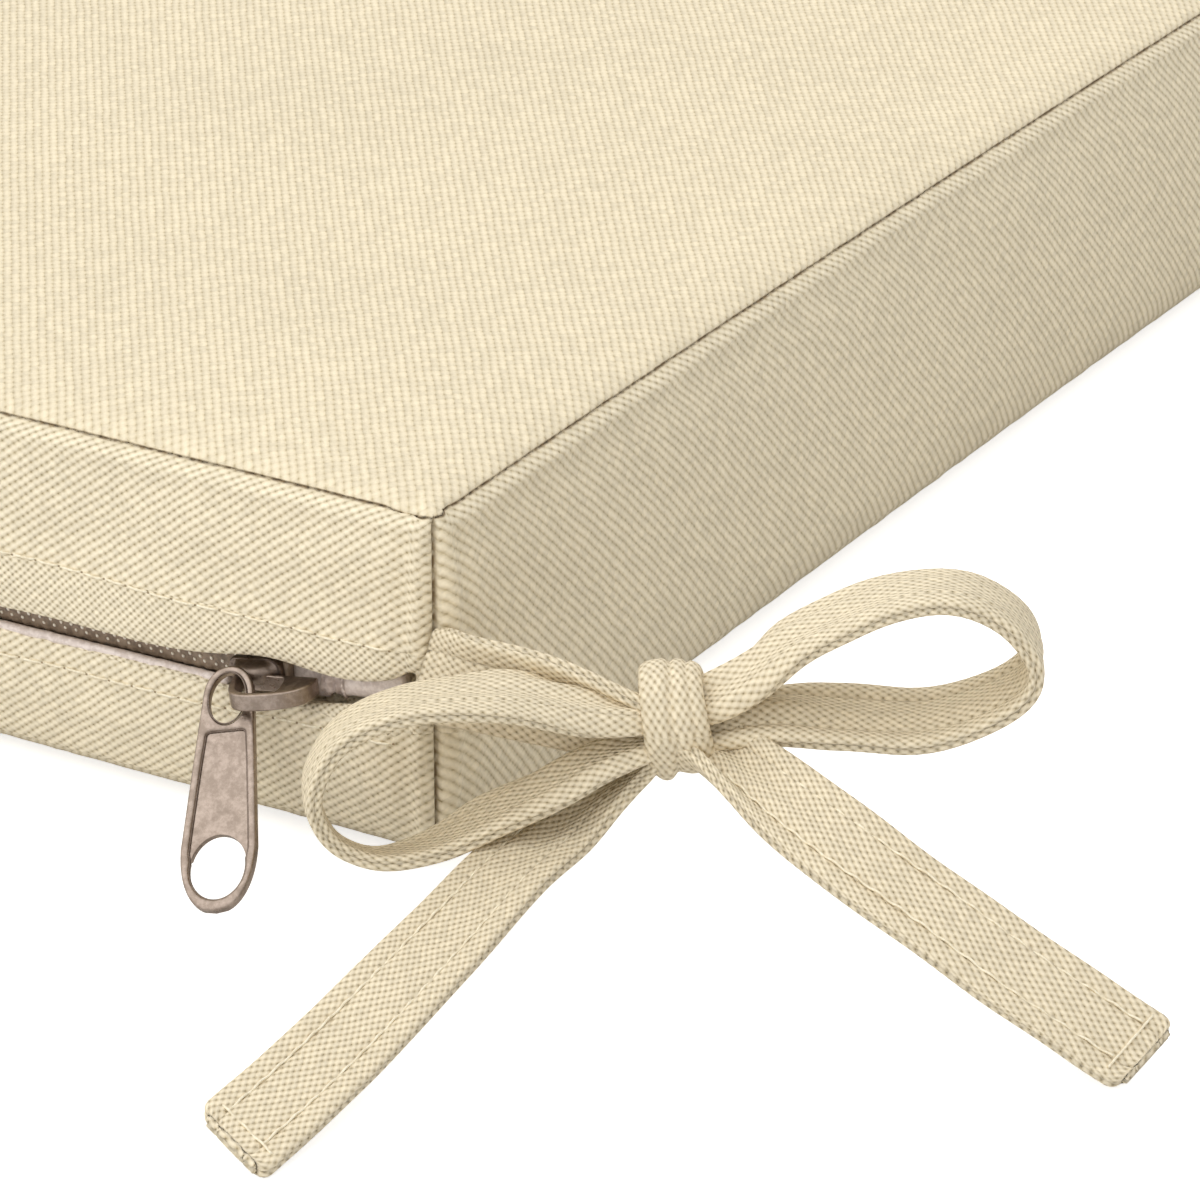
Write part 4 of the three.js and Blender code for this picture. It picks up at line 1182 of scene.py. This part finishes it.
def soften_flats(piece):
    """Smooth shading that keeps flat faces flat beside their rounded edges."""
    piece.data.set_sharp_from_angle(angle=math.radians(38))
    modifier = piece.modifiers.new("even_faces", "WEIGHTED_NORMAL")
    modifier.keep_sharp = True


def boxing_out(profile, distances, s, z):
    """How far the zip side's cloth stands out at station s and height z."""
    i = np.searchsorted(distances, s)
    outs = []
    for out, height in (profile[i - 1].T, profile[i].T):
        above_slot = z > 22
        outs.append(np.interp(-z, -height, out) if above_slot else np.interp(z, height[::-1], out[::-1]))
    return mix(outs[0], outs[1], (s - distances[i - 1]) / (distances[i] - distances[i - 1]))


def make_topstitch(profile, distances):
    """Two rows of stitches along the zip, with the needle holes between the stitches as small brown blobs:
    painted shade.
    """
    threads, holes = Builder(), Builder()
    draw = np.random.default_rng(41)
    shares = np.linspace(0.06, 0.94, 7)
    lift = -0.20 + 0.34 * np.sin(math.pi * shares) ** 0.5
    for line in TOPSTITCH:
        for start in np.arange(4.5, SIDE - 6.0, STITCH_LENGTH):
            s = start + shares * STITCH_LENGTH
            z = np.interp(s, line["at"], line["z"]) + draw.uniform(-0.10, 0.10)
            out = np.array([boxing_out(profile, distances, a, b) for a, b in zip(s, z)])
            add_tube(threads, np.stack([HALF - s, -HALF - out - lift, z], axis=-1), THREAD_RADIUS)
            level = float(np.interp(start, line["at"], line["z"]))
            out = boxing_out(profile, distances, start, level)
            add_blob(holes, np.array([HALF - start, -HALF - out, level]), np.diag(NEEDLE_HOLE), (7, 4))
    return threads.finish("topstitch"), holes.finish("needle_holes")


# Materials

class Nodes:
    """Short calls to add and join shader nodes."""

    def __init__(self, name):
        self.material = bpy.data.materials.new(name)
        self.material.use_nodes = True
        self.tree = self.material.node_tree
        self.shader = self.tree.nodes["Principled BSDF"]

    def add(self, kind, **settings):
        node = self.tree.nodes.new(kind)
        for key, value in settings.items():
            setattr(node, key, value)
        return node

    def join(self, source, target):
        self.tree.links.new(source, target)

    def feed(self, sockets, values):
        """Sets each socket to a number or colour, or joins it to another socket."""
        for socket, value in zip(sockets, values):
            if isinstance(value, (int, float, tuple)):
                socket.default_value = value
            else:
                self.join(value, socket)

    def finish(self, **inputs):
        """Sets the shader's inputs, named with _ for a space, and returns the material."""
        names = [key.replace("_", " ") for key in inputs]
        self.feed([self.shader.inputs[name] for name in names], inputs.values())
        return self.material

    def attribute(self, name):
        return self.add("ShaderNodeAttribute", attribute_name=name).outputs["Fac"]

    def split(self, vector):
        parts = self.add("ShaderNodeSeparateXYZ")
        self.join(vector, parts.inputs[0])
        return parts.outputs

    def math(self, operation, *values):
        node = self.add("ShaderNodeMath", operation=operation)
        self.feed(node.inputs, values)
        return node.outputs[0]

    def plus(self, a, b):
        return self.math("ADD", a, b)

    def minus(self, a, b):
        return self.math("SUBTRACT", a, b)

    def times(self, a, b):
        return self.math("MULTIPLY", a, b)

    def range(self, value, low, high, to_low=0.0, to_high=1.0, smooth_step=False):
        node = self.add("ShaderNodeMapRange", interpolation_type="SMOOTHSTEP" if smooth_step else "LINEAR")
        self.feed(node.inputs, (value, low, high, to_low, to_high))
        return node.outputs[0]

    def blend(self, share, a, b, mode="MIX"):
        node = self.add("ShaderNodeMix", data_type="RGBA", blend_type=mode)
        self.feed((node.inputs[0], node.inputs[6], node.inputs[7]), (share, a, b))
        return node.outputs[2]

    def noise(self, scale, detail=2.0, vector=None, roughness=0.5):
        node = self.add("ShaderNodeTexNoise")
        vector = vector or self.add("ShaderNodeTexCoord").outputs["Object"]
        names = ("Scale", "Detail", "Roughness", "Vector")
        self.feed([node.inputs[name] for name in names], (scale, detail, roughness, vector))
        return node

    def bump(self, height, distance):
        node = self.add("ShaderNodeBump")
        self.feed((node.inputs["Height"], node.inputs["Distance"]), (height, distance))
        return node.outputs[0]


def srgb(r, g, b):
    """Linear colour from the 0 to 255 values of a screen colour."""
    def one(c):
        c /= 255
        return c / 12.92 if c <= 0.04045 else ((c + 0.055) / 1.055) ** 2.4
    return (one(r), one(g), one(b), 1.0)


# Painted shade colours: for seams and creases in the cloth, and for the metal's hollows and dome
CREASE_SHADE_BROWN = srgb(140, 117, 85)
METAL_SHADE_BROWN = srgb(74, 62, 54)


def groove_along(n, phase):
    """0 on top of a yarn and 1 in the groove beside it."""
    return n.minus(1.0, n.math("ABSOLUTE", n.math("COSINE", n.times(phase, math.pi))))


def weave_phases(n, lip):
    """The two phases of the weave, changed where the cloth is pressed, and how pressed it is."""
    phase_a, phase_b = n.split(n.add("ShaderNodeUVMap", uv_map="weave").outputs[0])[:2]
    pressed = 0.0
    if lip:
        pressed = n.math("GREATER_THAN", n.attribute("pressed"), 0.5)
        changed = [n.plus(n.times(phase_a, a), n.times(phase_b, b)) for a, b in lip]
        phase_a = n.range(pressed, 0, 1, phase_a, changed[0])
        phase_b = n.range(pressed, 0, 1, phase_b, changed[1])
    shift = n.split(n.noise(300.0, 1.0).outputs["Color"])
    phase_a = n.plus(phase_a, n.times(shift[0], PHASE_DRIFT[0]))
    phase_b = n.plus(phase_b, n.times(shift[1], PHASE_DRIFT[1]))
    return phase_a, phase_b, pressed


def cloth_tone(n, phase_a, phase_b, fibre):
    """A grey near 1: single pearls, wide patches and fibres are a little lighter or darker."""
    cell = n.add("ShaderNodeCombineXYZ")
    n.feed(cell.inputs, [n.math("FLOOR", n.plus(phase, 0.5)) for phase in (phase_a, phase_b)])
    pick = n.add("ShaderNodeTexWhiteNoise", noise_dimensions="2D")
    n.join(cell.outputs[0], pick.inputs["Vector"])
    cloud = n.noise(22.0, 3.0).outputs["Fac"]
    tone = n.plus(n.range(pick.outputs["Value"], 0, 1, 0.93, 1.05), n.range(cloud, 0.3, 0.7, -0.02, 0.015))
    tone = n.plus(tone, n.range(fibre, 0.3, 0.7, -0.06, 0.05))
    grey = n.add("ShaderNodeCombineColor")
    n.feed(grey.inputs, (tone, tone, tone))
    return grey.outputs[0]


def woven(name, light, dark, hole, rib, relief, lip=None):
    """Cloth of thick yarn: ribs along one diagonal, cut into pearls by the other one.

    rib is how much the ribs stand out over the pearls, and lip the change of the phases beside
    the zip. The attribute "pressed" is above a half there, "satin" is 1 on plain boxings, whose
    ribs are smoother, and "stretched" is 1 where the weave is stretched flat over the filling.
    """
    n = Nodes(name)
    phase_a, phase_b, pressed = weave_phases(n, lip)
    groove_a, groove_b = groove_along(n, phase_a), groove_along(n, phase_b)
    satin = n.attribute("satin")
    ribs = n.range(pressed, 0, 1, rib, RIBS["pressed"]) if lip else rib
    ribs = n.range(satin, 0, 1, ribs, RIBS["satin"])
    others = n.minus(1.0, ribs)
    # long grooves between the ribs, deeper where the other yarns cross them
    dip = n.times(groove_a, n.plus(ribs, n.times(others, n.math("SQRT", groove_b))))
    dip = n.plus(dip, n.times(n.times(others, 0.35), groove_b))
    strong = n.range(satin, 0, 1, 1.0, STRENGTH["satin"])
    strong = n.range(n.attribute("stretched"), 0, 1, strong, STRENGTH["stretched"])
    height = n.minus(1.0, n.range(strong, 0, 1, 0.5, dip))
    # painted shade: dark specks where two grooves cross, more of them in some patches
    patch = n.range(n.noise(620.0, 1.0).outputs["Fac"], 0.35, 0.65, 0.35, 1.0)
    hollow = n.range(n.times(groove_a, groove_b), *SPECKS, smooth_step=True)
    hollow = n.times(n.times(hollow, strong), n.range(satin, 0, 1, 1.0, 0.7))
    fibre = n.noise(2600.0, 2.0).outputs["Fac"]
    # painted shade: the colour goes from light on the yarns' tops to dark down in the grooves
    colour = n.blend(n.range(height, 0.25, 1.0), dark, light)
    colour = n.blend(n.times(hollow, patch), colour, hole)
    colour = n.blend(1.0, colour, cloth_tone(n, phase_a, phase_b, fibre), "MULTIPLY")
    # painted shade: broken brown lines in seams and creases
    broken = n.range(n.noise(850.0, 1.0).outputs["Fac"], 0.42, 0.58, 0.35, 0.95)
    crease = n.range(n.attribute("crease_shade"), 0.72, 0.98, 0, 1, smooth_step=True)
    colour = n.blend(n.times(crease, broken), colour, CREASE_SHADE_BROWN)
    normal = n.bump(n.plus(height, n.times(fibre, 0.3)), relief)
    return n.finish(Base_Color=colour, Normal=normal, Roughness=0.72, Specular_IOR_Level=0.22,
                    Sheen_Weight=0.03, Sheen_Roughness=0.5)


def metal(name, colour, dark, roughness):
    """Old nickel: clouded, finely scratched, with painted shade where the attribute says so."""
    n = Nodes(name)
    cloud = n.noise(900.0, 5.0, roughness=0.7).outputs["Fac"]
    stretch = n.add("ShaderNodeMapping")
    n.join(n.add("ShaderNodeTexCoord").outputs["Object"], stretch.inputs["Vector"])
    stretch.inputs["Scale"].default_value = (900.0, 160.0, 2600.0)
    scratch = n.noise(1.0, 3.0, stretch.outputs[0], 0.7).outputs["Fac"]
    worn = n.blend(n.range(cloud, 0.38, 0.66, smooth_step=True), dark, colour)
    return n.finish(
        Base_Color=n.blend(n.attribute("crease_shade"), worn, METAL_SHADE_BROWN), Metallic=1.0,
        Roughness=n.range(scratch, 0.3, 0.7, roughness - 0.06, roughness + 0.16),
        Normal=n.bump(n.plus(scratch, n.times(cloud, 1.4)), 0.00004))


def yarn(name, colour, dark, roughness=0.7, scale=1800.0, relief=0.00005):
    """Fine thread or tape, a little uneven in colour."""
    n = Nodes(name)
    fibre = n.noise(scale, 3.0, roughness=0.6).outputs["Fac"]
    shade = n.blend(n.range(fibre, 0.35, 0.65, smooth_step=True), dark, colour)
    normal = n.bump(fibre, relief)
    return n.finish(Base_Color=shade, Roughness=roughness, Specular_IOR_Level=0.35, Normal=normal)


def floor_material():
    """White paper; what the camera sees of it is lifted so that the shadows on it stay faint."""
    n = Nodes("floor_white")
    grain = n.range(n.noise(3.0, 2.0).outputs["Fac"], 0.3, 0.7)
    seen = n.add("ShaderNodeLightPath").outputs["Is Camera Ray"]
    return n.finish(Base_Color=n.blend(grain, srgb(226, 226, 226), srgb(232, 232, 232)), Roughness=0.9,
                    Emission_Color=(1, 1, 1, 1), Emission_Strength=n.range(seen, 0, 1, 0.0, FLOOR_LIFT))


def setup_world():
    """A soft studio: bright from the upper left and front, dimmer behind and to the right."""
    world = bpy.data.worlds.new("studio")
    world.use_nodes = True
    tree = world.node_tree
    background = tree.nodes["Background"]
    direction = tree.nodes.new("ShaderNodeTexCoord").outputs["Generated"]
    toward = tree.nodes.new("ShaderNodeVectorMath")
    toward.operation = "DOT_PRODUCT"
    tree.links.new(direction, toward.inputs[0])
    toward.inputs[1].default_value = SOFT_LIGHT_FROM
    ramp = tree.nodes.new("ShaderNodeMapRange")
    ramp.interpolation_type = "SMOOTHSTEP"
    tree.links.new(toward.outputs["Value"], ramp.inputs[0])
    for socket, number in zip(ramp.inputs[1:5], (*SOFT_LIGHT_SPAN, *SOFT_LIGHT)):
        socket.default_value = number
    tree.links.new(ramp.outputs[0], background.inputs["Strength"])
    background.inputs["Color"].default_value = (1.0, 0.995, 0.985, 1.0)
    bpy.context.scene.world = world


def setup_stage():
    """The floor, the soft studio and the lamp."""
    mesh = bpy.data.meshes.new("floor")
    corners = [(x * FLOOR_HALF, y * FLOOR_HALF, 0) for x, y in ((-1, -1), (1, -1), (1, 1), (-1, 1))]
    mesh.from_pydata(corners, [], [(0, 1, 2, 3)])
    floor = bpy.data.objects.new("floor", mesh)
    floor.data.materials.append(floor_material())
    link(floor)
    setup_world()
    data = bpy.data.lights.new("key", "AREA")
    data.shape = "SQUARE"
    data.size = LAMP["size"]
    data.energy = LAMP["power"]
    lamp = bpy.data.objects.new("key", data)
    lamp.location = LAMP["at"]
    aim = Vector(LAMP["aim"]) - Vector(LAMP["at"])
    lamp.rotation_euler = aim.to_track_quat("-Z", "Y").to_euler()
    link(lamp)


def dress(piece, material, slot, *nodes):
    """Gives a piece its material and its body, and hides the solids that it stands for; slot is not used.
    """
    piece.data.materials.clear()
    piece.data.materials.append(material)
    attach(piece, "root")
    if nodes:
        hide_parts(*nodes)


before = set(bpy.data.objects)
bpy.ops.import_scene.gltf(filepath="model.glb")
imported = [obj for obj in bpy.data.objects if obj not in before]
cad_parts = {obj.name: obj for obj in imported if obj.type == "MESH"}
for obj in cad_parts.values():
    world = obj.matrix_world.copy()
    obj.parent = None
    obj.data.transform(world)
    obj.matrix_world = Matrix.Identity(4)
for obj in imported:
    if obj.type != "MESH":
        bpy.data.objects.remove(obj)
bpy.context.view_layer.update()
setup_camera()

cover_cloth = woven("cover_twill", srgb(245, 233, 207), srgb(214, 199, 166), srgb(168, 150, 116),
                    rib=RIBS["cover"], relief=0.0002, lip=PRESSED_WEAVE)
tie_cloth = woven("tie_twill", srgb(238, 225, 198), srgb(209, 193, 160), srgb(162, 145, 112),
                  rib=RIBS["tie"], relief=0.00017)

cover, zip_profile, cover_distances = make_cover()
dress(cover, cover_cloth, "cover", "cushion")

cream_thread = yarn("thread_cream", srgb(248, 239, 215), srgb(232, 219, 190))
for label, flip in (("right", False), ("left", True)):
    bow, *tails = make_bow("bow_" + label, flip)
    dress(bow, tie_cloth, "tie", "tie_" + label)
    threads = make_threads("bow_threads_" + label, tails, flip)
    dress(threads, cream_thread, "tie")

threads, holes = make_topstitch(zip_profile, cover_distances)
dress(threads, cream_thread, "cover")
# painted shade: the needle holes are small brown blobs
dress(holes, yarn("hole_shade_brown", srgb(165, 146, 114), srgb(140, 121, 92)), "cover")

coil_finish = yarn("coil_taupe", srgb(150, 131, 112), srgb(118, 101, 85), 0.42, 900.0, 0.0001)
dress(make_coil(), coil_finish, "coil", "zip_coil")
dress(make_coil_stitches(), yarn("stitch_white", srgb(250, 242, 228), srgb(232, 222, 206)), "coil")
tape_finish = yarn("tape_rose", srgb(238, 225, 217), srgb(214, 199, 190), 0.4, 1300.0, 0.00012)
dress(make_tape(), tape_finish, "tape", "zip_tape")
sleeve_finish = yarn("sleeve_rose", srgb(216, 200, 191), srgb(178, 160, 151), 0.25, 700.0, 0.0002)
dress(make_sleeve(), sleeve_finish, "tape")
nickel = metal("nickel_worn_and_shaded", srgb(176, 160, 148), srgb(150, 135, 123), 0.3)
for metal_piece, node in ((make_slider(), "zip_slider"), (make_pull(), "zip_pull")):
    dress(metal_piece, nickel, "metal", node)
    soften_flats(metal_piece)

setup_stage()
bpy.context.scene.view_settings.view_transform = "Standard"
